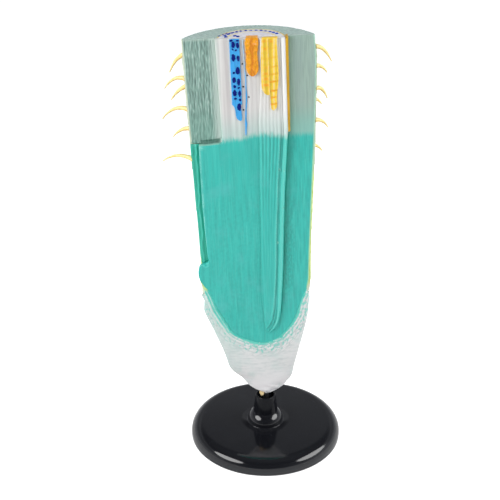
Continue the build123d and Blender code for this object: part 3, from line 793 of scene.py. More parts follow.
def section_stele_paint():
    """Bluish white with two thin yellow rings and painted highlights on its small bumps."""
    paint = Paint("section stele paint", 0.45)
    inset = paint["inset"] + (paint.cloud(0.25, 2) - 0.5) * 1.6
    patch = paint.cloud(0.35, 2).step(0.35, 0.6)
    inner = inset.step(6.6, 8) * inset.step(11, 9.4) * (patch * 0.7 + 0.3)
    return paint.brushed(
        rgb(216, 216, 222),
        (paint["relief"].step(-1, 0.6), rgb(234, 232, 238)),
        (inset.step(1.5, 4) * inset.step(7.5, 5.5) * 0.4, rgb(196, 212, 230)),
        (inset.step(3, 1) * (patch * 0.5 + 0.4), rgb(234, 214, 132)),
        (inner * 0.8, rgb(238, 218, 130)),
    )


def plastic_paint(colours, name, specular):
    """Glossy black moulding with faint dust and scuffs in its polish, and a painted reflection that makes it
    blue-grey low on its side.
    """
    paint = Paint(name, 0.1, specular)
    place = paint.place
    shade = paint.coats(
        colours.plastic,
        # Painted reflection of the floor: blue-grey low on the side
        (paint.part(place, 2).step(0.012, 0.002) * 0.6, rgb(28, 31, 38)),
        (paint.cloud(180, 5, place).step(0.6, 0.85) * 0.25, rgb(50, 51, 56)),
    )
    paint.feed("Base Color", shade)
    paint.feed("Roughness", paint.cloud(22, 4, place).step(0.3, 0.8) * 0.08 + 0.08)
    paint.bump(paint.cloud(900, 2, place), 0.04, 0.0001)
    return paint


def metal_paint(name, tones, roughness, metallic):
    """Turned or cast metal with a fine grain."""
    paint = Paint(name, roughness)
    grain = paint.cloud((300, 300, 2500), 3, paint.place)
    stain = paint.cloud(120, 4, paint.place).step(0.45, 0.75) * 0.4
    base = paint.mix(grain, darker(tones, 0.75), tones)
    paint.feed("Base Color", paint.mix(stain, base, darker(tones, 0.55)))
    paint.feed("Metallic", metallic)
    paint.feed("Roughness", grain * 0.2 + (roughness - 0.1))
    paint.bump(grain, 0.15, 0.0001)
    return paint


def wood_paint(colours):
    """Raw wood with its grain along the plug, darker at the lower right of its edge."""
    paint = Paint("raw wood", 0.8, 0.2)
    grain = paint.cloud((2.2, 2.2, 0.18), 5)
    shade = paint.mix(grain.step(0.3, 0.7), rgb(204, 170, 116), colours.wood)
    paint.feed("Base Color", paint.mix(paint["broken"], shade, rgb(70, 50, 34)))
    paint.bump(grain, 0.5, 0.0004)
    return paint


# Operators


class PieceOperator:
    """What the operators share: the scene's sizes, turned into millimetres, and its colours."""

    bl_options = {"REGISTER", "UNDO"}

    def execute(self, context):
        group = context.scene.root_sizes
        sizes = {name: getattr(group, name) / MILLIMETRE for name in RootSizes.__annotations__}
        self.build(SimpleNamespace(**sizes), context.scene.root_colours)
        return {"FINISHED"}


def collar_profile():
    """The outline of the collar: its spigot, its tapered wall, its round lip and its socket."""
    rim, lip, lip_radius = RIM / MILLIMETRE, 0.85, 10.05
    foot, floor, spigot, bore = rim - 22.5, rim - 16, 9, 3.05
    wall = np.linspace((13.1, foot), (lip_radius, rim - lip), 10)
    return [
        (bore, foot - 10),
        (spigot, foot - 10),
        (spigot, foot),
        *wall,
        *arc((lip_radius - lip, rim - lip), lip, 12, 168, 12),
        (8.5, floor),
        (bore, floor),
    ]


def foot_profile(sizes):
    """The outline of the foot: its underside, its rounded edge, its flat top, its dome and its bore."""
    radius, top, edge = sizes.foot_radius, sizes.foot_height, sizes.foot_edge
    wall, bulge, bore, neck, boss, ledge = 3, 15.2, 3.3, 9.1, 16, 14.5
    return [
        (bore, 7),
        (boss, 7),
        (boss, top - wall),
        *arc((radius - edge, top - edge), edge - wall, 90, 0, 12),
        (radius - wall, 0),
        *arc((radius - 2, 2), 2, -90, 0, 6),
        *arc((radius - edge, top - edge), edge, 0, 90, 28),
        *[(share, top) for share in np.linspace(radius - edge - 2, sizes.dome_radius + 0.4, 8)],
        *arc((sizes.dome_radius - bulge, top), bulge, 1, 58, 26),
        (neck, top + sizes.dome_height),
        (neck, ledge),
        (bore, ledge),
    ]


class ROOT_OT_stand(PieceOperator, Operator):
    """Models the moulded foot with its dome and its collar and finishes what they hold"""

    bl_idname = "root_model.stand"
    bl_label = "Stand"

    def build(self, sizes, colours):
        plastic = plastic_paint(colours, "black plastic", 0.46)
        dull = plastic_paint(colours, "collar plastic", 0.12)
        for name, node, profile, paint in (
            ("foot", "base_moulding", foot_profile(sizes), plastic),
            ("collar", "socket_collar", collar_profile(), dull),
        ):
            piece = spun(name, profile, paint)
            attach(piece, "stand")
            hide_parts(node)
        finish_nodes(plastic, "base_cover")
        finish_nodes(metal_paint("ballast iron", colours.iron, 0.6, 0.8), "ballast_ring")
        steel = metal_paint("zinc steel", colours.steel, 0.35, 1)
        finish_nodes(steel, "cover_screws", "mounting_rod", "rod_washer", "rod_screw")


class ROOT_OT_plug(PieceOperator, Operator):
    """Models the wooden plug with its broken lower edge"""

    bl_idname = "root_model.plug"
    bl_label = "Wooden plug"

    def build(self, sizes, colours):
        cast = Casting(sizes.relief_cell, "wood_plug")
        across, depth, height = cast.place.T
        lower = ease(height, 6, 0)
        outer = ease(np.hypot(across, depth), 3.6, 4.6)
        splinters = cast.wander((1.1, 1.1, 60), 3) + 0.4 * cast.wander((0.6, 0.6, 2), 8)
        right = ease(across, -3, 0.5)
        height += np.clip(lower * (splinters * 2 * outer + 1.6 + right * 7), 0, 8)
        cast.raise_all(splinters * 0.25 * lower * outer)
        broken = lower * outer * ease(right * 0.7 - splinters * 0.5, 0.1, 0.5)
        cast.finish("plug", "raw_wood", wood_paint(colours), broken=broken)


def outside_tongue(cast):
    """How far each vertex lies outside the tongue's edge; negative under the tongue."""
    edges = []
    for node in ("front_plate", "right_cortex_panel"):
        piece, edge = tongue_piece(node)
        piece.free()
        edges.append(edge)
    heights = np.linspace(edges[0][0][0], TONGUE_TOP, 240)
    lines = [np.interp(heights, *np.transpose(edge)) for edge in edges]
    tree = KDTree(len(heights) * 2)
    for line in lines:
        for height, across in zip(heights, line):
            tree.insert((across, 0, height), 0)
    tree.balance()
    distance = np.array([tree.find(place)[2] for place in (cast.place * (1, 0, 1)).tolist()])
    across, depth, height = cast.place.T
    left, right = (np.interp(height, heights, line) for line in lines)
    inside = (height > heights[0]) & (across > left) & (across < right)
    behind = np.maximum(depth - PLATE_FRONT, 0)
    outside = np.hypot(np.where(inside, 0, distance), behind * 1.4)
    return np.where(inside & (depth < -9), -distance, outside)


def whole_cap():
    """The cap with its pockets filled, so that it runs on under the plates."""
    whole = copied("front_plate", "right_cortex_panel", "stele_column")
    cut_off(whole, (0, 0, TONGUE_TOP), (0, 0, 1))
    return joined(whole, copied("root_cap"))


class ROOT_OT_cap(PieceOperator, Operator):
    """Models the white root cap with its raised cells"""

    bl_idname = "root_model.cap"
    bl_label = "Root cap"

    def build(self, sizes, colours):
        cast = Casting(sizes.casting_cell * 0.85, "root_cap", shape=whole_cap())
        across, depth, height = cast.place.T
        away = outside_tongue(cast)
        near = ease(away, 20, 9)
        left, right = ease(-across, 12, 24), ease(across, 16, 26)
        # Scattered cells, and rows of cells along the tongue's edge
        around = np.arctan2(across + 3, 150 - height) * 60
        flow = np.column_stack([around, away + cast.wander((7, 7, 7)) * 0.9, np.zeros(len(away))])
        cells = ease(cell_walls(flow, (5.2, 2.1, 1), 3), 0.05, 0.42) * 2 - 1
        bent = away + cast.wander((14, 14, 14), 2) * (0.5 + right * 1.2)
        lines = np.cos((bent - 1.6) * 2 * pi / 3.4)
        beside = ease(away, 9, 6.5) * np.maximum(left, right * 0.8)
        cells = cells * (1 - beside) + lines * beside
        folds = cast.wander((9, 9, 1.5), 5) + 0.5 * cast.wander((3, 3, 2), 7)
        lumps = cast.wander((7, 7, 6), 9)
        relief = near * cells + (1 - near) * folds * 0.7
        # The relief fades at the rim, and the cap stays back under the plates
        under = ease(-away, 0.2, 1.6)
        rim = np.maximum(ease(height, CAP_TOP - 0.5, CAP_TOP - 2), ease(-depth, 11, 12))
        raised = relief * (0.45 + 0.55 * near) * sizes.cap_cell_height / 2 + ease(height, 30, 8) * lumps * 0.8
        cast.raise_all(raised * (1 - under) * rim - under * 1.2)
        depth[:] = np.where(under > 0.3, np.maximum(depth, PLATE_FRONT + 1.4 * under), depth)
        # The outline, the blunt tip and the top edge
        body = ease(height, 18, 32) * ease(height, 118, 104)
        across += (ease(across, 8, 25) * 0.9 - ease(-across, 10, 28) * 1.3) * body
        height += ease(height, 9, 1) * (2.4 + lumps * 0.8)
        height += 0.4 * ease(height, CAP_TOP - 1.5, CAP_TOP - 0.3) * (1 - under)
        reach = 3.6 + 4.6 * ease(height, 76, 94) * (1 - right) + 1.5 * cast.wander((6, 6, 6), 11)
        line_height = 8.5 + across * 0.12 + cast.wander((6, 6, 50), 4) * 1.2
        cast.keep(relief=relief, wash=np.clip(1 - away / reach, 0, 1), skin_tint=ease(height, 127, 131))
        cast.keep(flecks=np.clip(1 - away / 15, 0, 1) * (1 - 0.4 * left))
        # The tip line marks where a painted shade line runs low on the tip
        cast.keep(tip_line=hill(height, line_height, 0.7) * ease(-depth, 0, 4))
        cast.finish("cap", "cap_white", cap_paint())


class ROOT_OT_shell(PieceOperator, Operator):
    """Models the curved back with its outer skin of long cells"""

    bl_idname = "root_model.shell"
    bl_label = "Outer skin"

    def build(self, sizes, colours):
        cast = Casting(sizes.casting_cell * 1.3, "back_shell")
        across, depth, height = cast.place.T
        turn = np.arctan2(across, depth + 36) * 64 + cast.wander((12, 12, 30)) * 1.5
        flow = np.column_stack([turn, np.zeros(len(turn)), height])
        relief = ease(cell_walls(flow, (4, 1, 14), 1), 0.03, 0.4) * 2 - 1
        ends = ease(height, CAP_TOP, CAP_TOP + 3) * ease(height, 370, 366)
        cast.raise_all((relief * 0.5 - 0.5) * sizes.skin_cell_height * ease(depth, -8.5, -5) * ends)
        sides = ease(abs(across), 28, 42) * ease(height, CAP_TOP, CAP_TOP + 6) * ease(height, 368, 358)
        across += np.sign(across) * 0.9 * sides
        cast.finish("outer_skin", "skin_cream", skin_paint(colours), relief=relief)


class ROOT_OT_front(PieceOperator, Operator):
    """Models the front plate with the stele and the turquoise tongue"""

    bl_idname = "root_model.front"
    bl_label = "Front plate"

    def build(self, sizes, colours):
        cast = Casting(sizes.casting_cell, "front_plate", shape=tongue_piece("front_plate")[0])
        across, _, height = cast.place.T
        low = ease(height, 290, 200)
        fine = cast.wander((1.6, 50, 30), 2) * 0.5 + cast.wander((1.1, 50, 22), 13) * 0.45 * low
        broad = cast.wander((5, 50, 120), 4) * 0.7 * (1 - low)
        relief = fine + broad + cast.wander((1.7, 50, 2.6), 6) * 0.4 * low
        cast.raise_front(relief * sizes.streak_height)
        curl = hill(np.hypot(across + 50.5, height - 156.5), 2.2, 1.3)
        cast.raise_front(curl * 0.8)
        cast.close_seam(1)
        # The ledge mark: a painted highlight along the plate's upper edge
        to_ledge = between(LEDGE_EDGE, across) - height
        ledge = ease(to_ledge, 0.8, -0.3) * ease(to_ledge, -3, -1)
        ledge *= ease(across, -28.5, -33) * ease(across, -51, -49.5)
        # Painted highlights: a spot at the upper left corner and a broken line along the left edge
        corner = spot(across + 48.5, to_ledge - 2, 2.5)
        cast.lower_ledge()
        left_line = hill(across, PLATE_LEFT + 0.7, 0.8) * ease(height, 158, 164)
        highlight_patches = ease(cast.wander((2.5, 2.5, 7), 9), -0.3, 0.3) * 0.5 + 0.3
        cast.keep(relief=relief + curl, ledge=ledge, worn=np.maximum(left_line * highlight_patches, corner * 0.8))
        cast.finish("front_plate_painted", "turquoise", front_plate_paint(colours), above=cast.above_paint())


class ROOT_OT_edge_strip(PieceOperator, Operator):
    """Models the darker step along the left edge"""

    bl_idname = "root_model.edge_strip"
    bl_label = "Edge strip"

    def build(self, sizes, colours):
        cast = Casting(sizes.relief_cell * 1.6, "left_edge_strip")
        sway = cast.wander((50, 50, 13)) * 1.1 + cast.wander((50, 50, 5), 3) * 0.4
        ridge = hill(cast.place[:, 0], -53 + sway, 1)
        relief = ridge * 1.6 - 0.6 + cast.wander((2, 9, 9), 3) * 0.5
        cast.raise_front(relief * 0.4)
        cast.keep(relief=relief, above=cast.above_paint())
        cast.finish("edge_strip", "turquoise", edge_strip_paint(colours))


class ROOT_OT_left_cortex(PieceOperator, Operator):
    """Models the upper left panel with its net of wrinkles and the groove over the ledge"""

    bl_idname = "root_model.left_cortex"
    bl_label = "Left cortex panel"

    def build(self, sizes, colours):
        cast = Casting(sizes.relief_cell * 1.4, "left_cortex_panel")
        across, _, height = cast.place.T
        flow = cast.place * (1, 0, 1)
        flow[:, 0] += cast.wander((7, 50, 16)) * 1.3
        loops = ease(abs(wander(flow, (3, 1, 24), 7)), 0.26, 0)
        threads = ease(abs(wander(flow, (2.2, 1, 15), 3)), 0.3, 0)
        net = np.maximum(loops, threads * 0.8) * 1.7 - 1
        bent = across + cast.wander((8, 50, 20)) * 2 + cast.wander((4, 50, 9)) * 0.6
        strands = np.cos(bent * 2 * pi / 2.4)
        flakes = cast.wander((1.5, 50, 5), 2)
        calm = 1 - ease(across, -37, -30) * 0.8
        relief = (strands * 0.42 + net * 0.62 + flakes * 0.75) * calm
        fold = cast.wander((5, 50, 45), 5)
        cast.raise_front((relief + fold * 0.6) * sizes.wrinkle_height / 2)
        groove = ease(height - between(LEDGE_EDGE, across), 4.6, 2.4)
        groove *= ease(across, PLATE_LEFT, PLATE_LEFT + 5) * ease(across, -28.9, -31)
        cast.raise_front(-groove * sizes.groove_depth)
        outer = ease(across, PLATE_LEFT + 1, PLATE_LEFT - 1)
        cast.raise_front(-outer * ease(height, PANEL_BOTTOM + 12, PANEL_BOTTOM))
        cast.lower_ledge()
        cast.keep(relief=relief, groove=groove, edge=ease(cast.from_side(-1), 1.9, 0.7))
        cast.finish("left_cortex", "cortex_grey", cortex_left_paint(colours), above=cast.above_paint())


def whole_panel():
    """The panel run up over the front rim of the cross-section, so that its front shows no seam."""
    rim = copied("top_cortex")
    low, high = root_box("right_cortex_panel")
    cut_off(rim, (32, 0, 0), (-1, 0, 0))
    cut_off(rim, (0, low[1] + 4, 0), (0, 1, 0))
    for vertex in rim.verts:
        if vertex.co.z < TOP - 1:
            vertex.co.z = high[2] - 1
    return joined(tongue_piece("right_cortex_panel")[0], rim)


class ROOT_OT_right_cortex(PieceOperator, Operator):
    """Models the panel right of the groove with its brick-like cells"""

    bl_idname = "root_model.right_cortex"
    bl_label = "Right cortex panel"

    def build(self, sizes, colours):
        cast = Casting(sizes.relief_cell * 1.7, "right_cortex_panel", shape=whole_panel())
        across, _, height = cast.place.T
        from_groove = across - rounded(GROOVE, height)
        swayed = from_groove + cast.wander((9, 50, 9)) * 0.5
        flow = np.column_stack([swayed, np.zeros(len(swayed)), height + from_groove * 0.5])
        bricks = ease(cell_walls(flow, (1.7, 1, 5), 4), 0, 0.5) * 2 - 1
        beside = ease(from_groove, 15, 5) * ease(height, 100, 140) * (1 - ease(height, 180, 250) * 0.8)
        fine = cast.wander((1.5, 50, 16), 8) * (0.9 - 0.3 * beside)
        relief = fine + bricks * beside * 0.6 + cast.wander((1.7, 50, 2.6), 6) * 0.2
        cast.raise_front(relief * (sizes.streak_height * (1 - beside) + sizes.brick_height * beside))
        cast.close_seam(-1)
        rim = ease(cast.from_side(1), 1.4, 0.5) * ease(height, 126, 134)
        cast.keep(relief=relief, rim=rim, worn=np.zeros(len(relief)), above=cast.above_paint())
        # A painted shadow that fades to the right of the groove
        cast.keep(shadow=np.exp(-np.maximum(from_groove, 0) / 3) * ease(height, 90, 150))
        cast.finish("right_cortex", "cortex_grey", cortex_right_paint(colours))


class ROOT_OT_column(PieceOperator, Operator):
    """Models the ribbed column and its rounded ridge"""

    bl_idname = "root_model.column"
    bl_label = "Ribbed column"

    def build(self, sizes, colours):
        cast = Casting(sizes.relief_cell * 1.5, "stele_column")
        across, depth, height = cast.place.T
        groove, left = rounded(GROOVE, height), rounded(COLUMN_LEFT, height)
        from_groove = groove - across
        sway = cast.wander((50, 50, 26), 3) * 0.3 + cast.wander((50, 50, 6), 5) * 0.15
        swayed = from_groove + sway
        half = between(RIDGE_HALF, height)
        ridge = np.clip(1 - ((from_groove - 0.3 - half) / half) ** 2, 0, 1) ** 0.5
        share = np.clip((across - left) / np.maximum(groove - 9 - left, 1), 0, 1)
        ribs = -np.cos(share * 2 * pi * 5 + sway * 2) * ease(from_groove, 8.4, 9.2)
        ribs *= 0.12 + 0.75 * ease(height, 175, 282) - 0.4 * ease(height, 288, 300)
        line = hill(swayed, 5.6, 0.65) * (1.6 - 1.3 * ease(height, 285, 305))
        lip = hill(swayed, 7.6, 0.8) * 1.1
        first = hill(across - left, 1, 0.9) * 0.7
        nicks = sum(spot((from_groove - aside) * 1.5, height - level, 1.1) for aside, level in NICKS)
        relief = ribs - line + lip + first + cast.wander((1.2, 50, 20), 12) * 0.35
        body = 1.2 + 1.2 * ridge + relief * sizes.rib_height - nicks * 0.8
        taper = ease(height, COLUMN_TIP, COLUMN_TIP + 13)
        flat = PLATE_FRONT + 0.3 - (body + 0.3) * taper
        front = cast.front() * ease(-depth, 15, 15.5) * ease(from_groove, 0, 0.9)
        depth += front * (flat - depth)
        depth += (1 - taper) * (1 - front) * ease(-depth, 14, 14.5) * 1.2
        # Pale marks: on the nicks they are wear and painted highlight; along the ridge and beside the lip
        # they are painted highlights
        beside_line = hill(swayed, 7.1, 0.5) * 0.4 * ease(height, 96, 112)
        cast.keep(relief=relief - nicks, ridge=ridge * ease(from_groove, 0.2, 1.2) * taper)
        cast.keep(worn=nicks * 1.3 + hill(from_groove, 1.6, 0.5) * 0.5 * taper + beside_line)
        cast.finish("column", "turquoise", column_paint(colours), above=cast.above_paint())


def draw_tail(cast):
    """Draws the strand's lower end out to a thicker tail and marks where its upper end is pale."""
    height = cast.place[:, 2]
    cast.raise_all(ease(height, 306, 296) * 0.35 * ease(height, 286, 290))
    height -= ease(height, 292, 287) * 2.5
    faint = 0.6 + 0.4 * ease(cast.wander((2, 9, 7), 1), -0.2, 0.2)
    cast.keep(mark=ease(height, 322, 352) * faint)


class ROOT_OT_vessels(PieceOperator, Operator):
    """Models the blue vessels, their mouths, the thin strand and the pits"""

    bl_idname = "root_model.vessels"
    bl_label = "Blue vessels"

    def build(self, sizes, colours):
        blue, navy, black = colours.vessel_blue, colours.cell_navy, colours.pit_black
        vein = shaded_relief_paint("xylem paint", darker(blue, 0.78), blue)
        strand = marked_paint("strand paint", blue, rgb(200, 218, 228))
        mouth = shaded_relief_paint("vessel mouth paint", darker(navy, 0.7), navy, 0.5, 0.15)
        pit = shaded_relief_paint("pit paint", darker(black, 0.5), black, 0.5, 0.2)
        for node, name, fineness, slot, waves, swing, paint in (
            ("xylem_strip", "xylem", 0.9, "xylem_blue", (1.5, 50, 8), 0.2, vein),
            ("protoxylem_strand", "strand", 0.6, "xylem_blue", (2, 9, 5), 0.15, strand),
            ("xylem_cells", "vessel_mouths", 0.6, "cell_navy", (1.3, 9, 1.3), 0.6, mouth),
            ("pit_dots", "pits", 0.5, "dot_black", (1, 9, 1), 0.3, pit),
        ):
            cast = Casting(sizes.relief_cell * fineness, node, smoothing=1)
            relief = cast.wander(waves, 4)
            cast.raise_all(relief * swing)
            if node == "protoxylem_strand":
                draw_tail(cast)
            cast.finish(name, slot, paint, relief=relief)


class ROOT_OT_phloem(PieceOperator, Operator):
    """Models the bumpy orange companion cells and where they show on top"""

    bl_idname = "root_model.phloem"
    bl_label = "Orange phloem"

    def build(self, sizes, colours):
        paint = marked_paint("phloem paint", colours.phloem_orange, colours.phloem_dark)
        cast = Casting(sizes.relief_cell * 0.8, "phloem_relief")
        across, _, height = cast.place.T
        across -= 0.4
        middle = 1.8 + cast.wander((50, 50, 5)) * 0.9 + cast.wander((50, 50, 2)) * 0.4
        fork = 1.2 * ease(cast.wander((50, 50, 6), 5), -0.1, 0.4)
        furrow = np.maximum(hill(across, middle - fork, 1.2), hill(across, middle + fork, 1))
        bulge = cast.wander((5, 50, 2.6), 8) * 1.4
        bumps = bulge * 0.6 + cast.wander((1.6, 2, 2), 3) * 0.9
        cast.raise_front(bumps * 0.2 - furrow * 0.35)
        cast.raise_all(bulge * ease(abs(cast.normal[:, 0]), 0.2, 0.7) * 0.4)
        pit = spot(across + 3.5, (TOP - height - 13.3) * 0.8, 1)
        spots = ease(cast.wander((1.3, 9, 1.5), 6), 0.15, 0.45) * 0.7
        right_side = ease(across, 0.6, 4.6) * 0.2
        mark = np.clip(np.maximum(furrow, spots) + right_side + pit * 1.5, 0, 1.3)
        relief = bumps - furrow - pit * 3
        cast.finish("phloem", "phloem_orange", paint, relief=relief, mark=mark)
        cover = end_cover((-3, PLATE_FRONT - 1.2, TOP - 1), (7.4, -7, TOP + 0.35), sizes.relief_cell)
        relief = cover.wander((2, 2, 2))
        mark = hill(cover.place[:, 0], 2.3, 0.8) * 0.5
        cover.finish("phloem_end", "phloem_orange", paint, relief=relief, mark=mark)


def left_marks(cast):
    """Light and deeper upright bands, and orange spots on the deeper one."""
    across = cast.place[:, 0] + cast.wander((50, 50, 12)) * 0.3
    down = TOP - cast.place[:, 2]
    bands = np.cos((across - 10.9) * 2 * pi / 5.2)
    spots = sum(
        spot((across - middle) * narrow, down - level, 1.3) * strength
        for level, middle, narrow, strength in SIEVE_SPOTS
    )
    cells = hill(np.mod(down, 5.2), 2.6, 1) * 0.3
    relief = bands * 0.95 - cells + cast.wander((1.5, 9, 3), 4) * 0.35
    return relief, np.clip(spots, 0, 1)


def right_marks(cast):
    """One row of tall cells, pale in their middle, with orange plates between them."""
    across = cast.place[:, 0] + cast.wander((50, 50, 6)) * 0.3
    down = TOP - cast.place[:, 2]
    slope = (across - 20.5) * 0.15
    plates = sum(hill(down + slope, level, 0.8) * strength for level, strength in SIEVE_PLATES)
    pale = 20.6 - (down - 25.6) * 0.035
    middle = hill(across, pale, 1.5) * 2 - 0.9
    edge = hill(cast.from_side(1), 0, 1.1) * 1.6
    relief = middle + edge - plates * 1.2 + cast.wander((1.3, 9, 1.6), 4) * 0.35
    uneven = ease(cast.wander((2.5, 9, 5), 2), -0.5, 0.1) * 0.5 + 0.5
    left_end = 1 - 0.35 * ease(across, pale, pale + 3)
    upper_spot = spot(across - 18.9, down - 2.7, 1.4) * 0.7
    return relief, np.clip(plates * uneven * left_end + upper_spot, 0, 1)


class ROOT_OT_sieve_tubes(PieceOperator, Operator):
    """Models the yellow tubes with their cells and where they show on top"""

    bl_idname = "root_model.sieve_tubes"
    bl_label = "Yellow sieve tubes"

    def build(self, sizes, colours):
        paint = marked_paint("sieve paint", colours.sieve_yellow, colours.sieve_orange)
        for side, marks in (("left", left_marks), ("right", right_marks)):
            node = f"sieve_tube_{side}"
            cast = Casting(sizes.relief_cell * 0.9, node)
            cast.place[:, 0] -= 0.6
            relief, mark = marks(cast)
            cast.raise_front(relief * 0.25)
            cast.finish(f"sieve_{side}", "sieve_yellow", paint, relief=relief, mark=mark)
        cover = end_cover((10.8, -17, TOP - 1), (24.6, -12.2, TOP + 0.3), sizes.relief_cell)
        relief = cover.wander((2, 2, 2))
        mark = ease(cover.wander((2, 2, 2), 5), 0.3, 0.6) * 0.5
        cover.finish("sieve_end", "sieve_yellow", paint, relief=relief, mark=mark)


class ROOT_OT_endodermis(PieceOperator, Operator):
    """Models the ochre strip right of the column and where it shows on top"""

    bl_idname = "root_model.endodermis"
    bl_label = "Ochre endodermis"

    def build(self, sizes, colours):
        paint = shaded_relief_paint("endodermis paint", darker(colours.ochre, 0.8), colours.ochre)
        cast = Casting(sizes.relief_cell * 0.9, "endodermis_strip")
        relief = cast.wander((1.5, 9, 9), 4)
        cast.raise_front(relief * 0.2)
        cast.finish("endodermis", "ochre", paint, relief=relief)
        cover = end_cover((31.2, -15.4, TOP - 1), (33.6, -6.5, TOP + 0.3), sizes.relief_cell, 2, 0.2)
        cover.finish("endodermis_end", "ochre", paint, relief=cover.wander((2, 2, 2)))


def section_cortex(cell, colours):
    """The cross-section's cortex with its slanted rows of cells and its pale front rim."""
    cast = Casting(cell * 1.6, "top_cortex")
    across, depth, height = cast.place.T
    slant = np.column_stack([across + depth, depth - across, height])
    relief = wander(slant, (1.6, 3.6, 9), 5) * 1.3 + cast.wander((1.1, 1.1, 9), 2) * 0.9
    cast.raise_all(relief * 0.15 * ease(cast.normal[:, 2], 0.3, 0.8))
    depth += ease(across, 30, 33) * ease(-depth, 8, 9.5) * 0.6
    rim = ease(-depth, 8.6, 10)
    pale = ease(wander(slant, (1.8, 4.5, 9), 11), 0, 0.5) * 0.7
    cast.keep(relief=relief * (1 - rim), mark=np.maximum(rim * 0.8, pale))
    paint = marked_paint("section cortex paint", colours.cortex_top, rgb(196, 210, 200), 0.45)
    cast.finish("section_cortex", "cortex_grey", paint)


def section_stele(cell):
    """The stele's sector, its paint's rings measured from its round outline."""
    cast = Casting(cell * 1.3, "top_stele")
    across, depth, _ = cast.place.T
    low, high = root_box("top_stele")
    half_chord, rise = (high[0] - low[0]) / 2, high[1] - low[1]
    radius = (half_chord**2 + rise**2) / (2 * rise)
    inset = radius - np.hypot(across - (high[0] + low[0]) / 2, depth - (high[1] - radius))
    relief = cast.wander((2.4, 2.4, 2.4), 3) * 1.3
    cast.raise_all(relief * 0.1 * ease(cast.normal[:, 2], 0.3, 0.8))
    paint = section_stele_paint()
    cast.finish("section_stele", "stele_white", paint, relief=relief, inset=inset)


def vessel_mouths():
    """Small flat domes for the vessel mouths that stand apart from the dotted ring."""
    bm = bmesh.new()
    for across, depth, radius in MOUTHS:
        verts = bmesh.ops.create_icosphere(bm, subdivisions=2, radius=radius)["verts"]
        bmesh.ops.scale(bm, vec=(1.2, 1, 0.5), verts=verts)
        bmesh.ops.translate(bm, vec=(across, depth, TOP), verts=verts)
    return bm


class ROOT_OT_section(PieceOperator, Operator):
    """Models the cross-section on top"""

    bl_idname = "root_model.section"
    bl_label = "Cross-section"

    def build(self, sizes, colours):
        cell = sizes.relief_cell
        section_cortex(cell, colours)
        section_stele(cell)
        yellow = shaded_relief_paint("section band paint", darker(colours.ochre, 0.9), rgb(232, 206, 110))
        band = Casting(cell, "top_endodermis_band", smoothing=1)
        relief = band.wander((2.4, 2.4, 2.4), 3)
        band.finish("section_band", "ochre", yellow, relief=relief)
        navy = shaded_relief_paint("section vessel paint", colours.cell_navy, rgb(24, 66, 170), 0.5, 0.15)
        ring = Casting(cell * 0.5, "top_xylem_dots", smoothing=0)
        relief = ring.wander((2.4, 2.4, 9), 3)
        ring.raise_all(0.15 + relief * 0.5)
        ring.finish("section_vessels", "cell_navy", navy, relief=relief)
        flecks = Casting(cell * 0.5, shape=vessel_mouths(), smoothing=0)
        flecks.finish("section_flecks", "cell_navy", navy, relief=flecks.wander((2.4, 2.4, 9), 3))


class ROOT_OT_hairs(PieceOperator, Operator):
    """Models the root hairs"""

    bl_idname = "root_model.hairs"
    bl_label = "Root hairs"

    def build(self, sizes, colours):
        paint = shaded_relief_paint("hair paint", colours.hair_shade, colours.hair, 0.34)
        for node in sorted(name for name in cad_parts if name.startswith("root_hair")):
            cast = Casting(sizes.relief_cell * 0.9, node)
            wave = cast.wander((3, 3, 3), 2)
            cast.raise_all(wave * 0.2)
            # Ochre on the undersides is painted shade, cream on the upper sides a painted highlight
            relief = cast.normal[:, 2] * 1.1 + wave * 0.5 + 0.2
            cast.finish(node.removeprefix("root_"), "hair_cream", paint, relief=relief)


def add_floor():
    """A pale floor that looks white itself and in reflections, and that keeps the shadow."""
    bm = bmesh.new()
    bmesh.ops.create_circle(bm, cap_ends=True, segments=96, radius=4.5)
    bmesh.ops.translate(bm, vec=(0, 0, -0.0003), verts=bm.verts)
    floor = added("floor", mesh_from(bm, "floor"))
    paint = Paint("white floor", 0.9, 0)
    paint.feed("Base Color", (0.85, 0.85, 0.85, 1))
    seen = paint.ray("Camera") + paint.ray("Glossy") * 0.36 + paint.ray("Transmission") * 0.36
    glow = paint.node("ShaderNodeEmission", {}, {"Color": (1, 1, 1, 1), "Strength": 0.75})
    none = paint.node("ShaderNodeEmission", {}, {"Color": (0, 0, 0, 1), "Strength": 0})
    chosen = paint.node("ShaderNodeMixShader", {}, {0: seen, 1: none, 2: glow})
    surface = Socket(paint, paint.shader.outputs[0])
    both = paint.node("ShaderNodeAddShader", {}, {0: surface, 1: chosen})
    paint.give(paint.output.inputs[0], both)
    floor.data.materials.append(paint.material)


def add_surroundings():
    """A room that is bright below the horizon, and dimmer overhead and behind the camera."""
    world = bpy.data.worlds.new("pale room")
    bpy.context.scene.world = world
    world.use_nodes = True
    nodes = Nodes(world.node_tree)
    way = nodes.node("ShaderNodeTexCoord", {}, {}, "Generated")
    stops = [(place, (*darker(ROOM_TINT, grey), 1)) for place, grey in ROOM_GREYS]
    light = nodes.node("ShaderNodeValToRGB", {"stops": stops}, {0: nodes.part(way, 2)})
    limits = {1: -1, 2: -0.2, 3: 0.12, 4: 1}
    share = nodes.node("ShaderNodeMapRange", {}, {0: nodes.part(way, 1), **limits})
    strength = share.math("MAXIMUM", share, nodes.ray("Camera"))
    background = nodes.tree.nodes["Background"]
    nodes.give(background.inputs[0], light)
    nodes.give(background.inputs[1], strength)


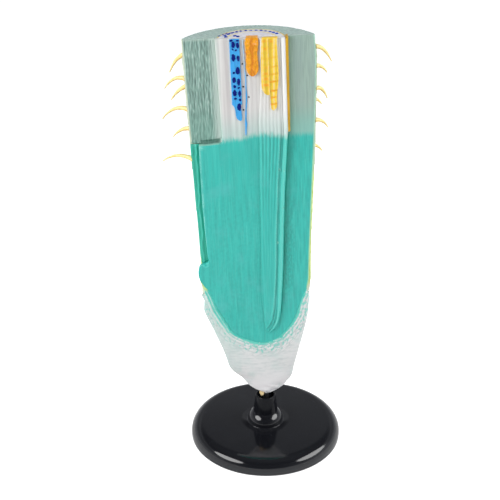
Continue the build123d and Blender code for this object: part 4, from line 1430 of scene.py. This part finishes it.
def add_lamp(name, place, size, power):
    """An oval lamp that shines at the middle of the model."""
    light = bpy.data.lights.new(name, "AREA")
    light.shape = "ELLIPSE"
    light.size, light.size_y = size
    light.energy = power
    lamp = added(name, light)
    lamp.location = place
    aim = Vector((0, 0, 0.22)) - Vector(place)
    lamp.rotation_euler = aim.to_track_quat("-Z", "Y").to_euler()


def add_camera():
    """A camera fitted to the photograph's view, and colours shown as they are."""
    data = bpy.data.cameras.new("camera")
    data.sensor_width = SENSOR
    data.lens = FOCAL_PIXELS / PHOTO_PIXELS * SENSOR
    camera = added("camera", data)
    camera.location = CAMERA_PLACE
    camera.rotation_euler = (radians(90 - CAMERA_DOWN), 0, radians(CAMERA_TURN))
    bpy.context.scene.camera = camera
    bpy.context.scene.view_settings.view_transform = "Standard"


class ROOT_OT_stage(PieceOperator, Operator):
    """Sets up the floor, the lights, the surroundings and the camera"""

    bl_idname = "root_model.stage"
    bl_label = "Stage"

    def build(self, sizes, colours):
        add_floor()
        add_surroundings()
        add_lamp("left_light", (-1.3, -0.75, 1.05), (1.42, 0.88), 25.5)
        add_lamp("right_light", (1.6, -0.35, 1.05), (1.7, 0.98), 30.5)
        add_camera()


# In the order in which they stand above
OPERATORS = tuple(PieceOperator.__subclasses__())


class ROOT_PT_sidebar(Panel):
    """Lists the steps that build the model"""

    bl_idname = "ROOT_PT_sidebar"
    bl_label = "Root Model"
    bl_space_type = "VIEW_3D"
    bl_region_type = "UI"
    bl_category = "Root Model"

    def draw(self, context):
        for operator in OPERATORS:
            self.layout.operator(operator.bl_idname)
        for group in (context.scene.root_sizes, context.scene.root_colours):
            box = self.layout.box()
            for name in type(group).__annotations__:
                box.prop(group, name)


CLASSES = (RootSizes, RootColours, *OPERATORS, ROOT_PT_sidebar)


def register():
    for cls in CLASSES:
        bpy.utils.register_class(cls)
    bpy.types.Scene.root_sizes = bpy.props.PointerProperty(type=RootSizes)
    bpy.types.Scene.root_colours = bpy.props.PointerProperty(type=RootColours)


def unregister():
    del bpy.types.Scene.root_colours
    del bpy.types.Scene.root_sizes
    for cls in reversed(CLASSES):
        bpy.utils.unregister_class(cls)


def main():
    register()
    for operator in OPERATORS:
        group, name = operator.bl_idname.split(".")
        getattr(getattr(bpy.ops, group), name)()


if __name__ == "__main__":
    main()
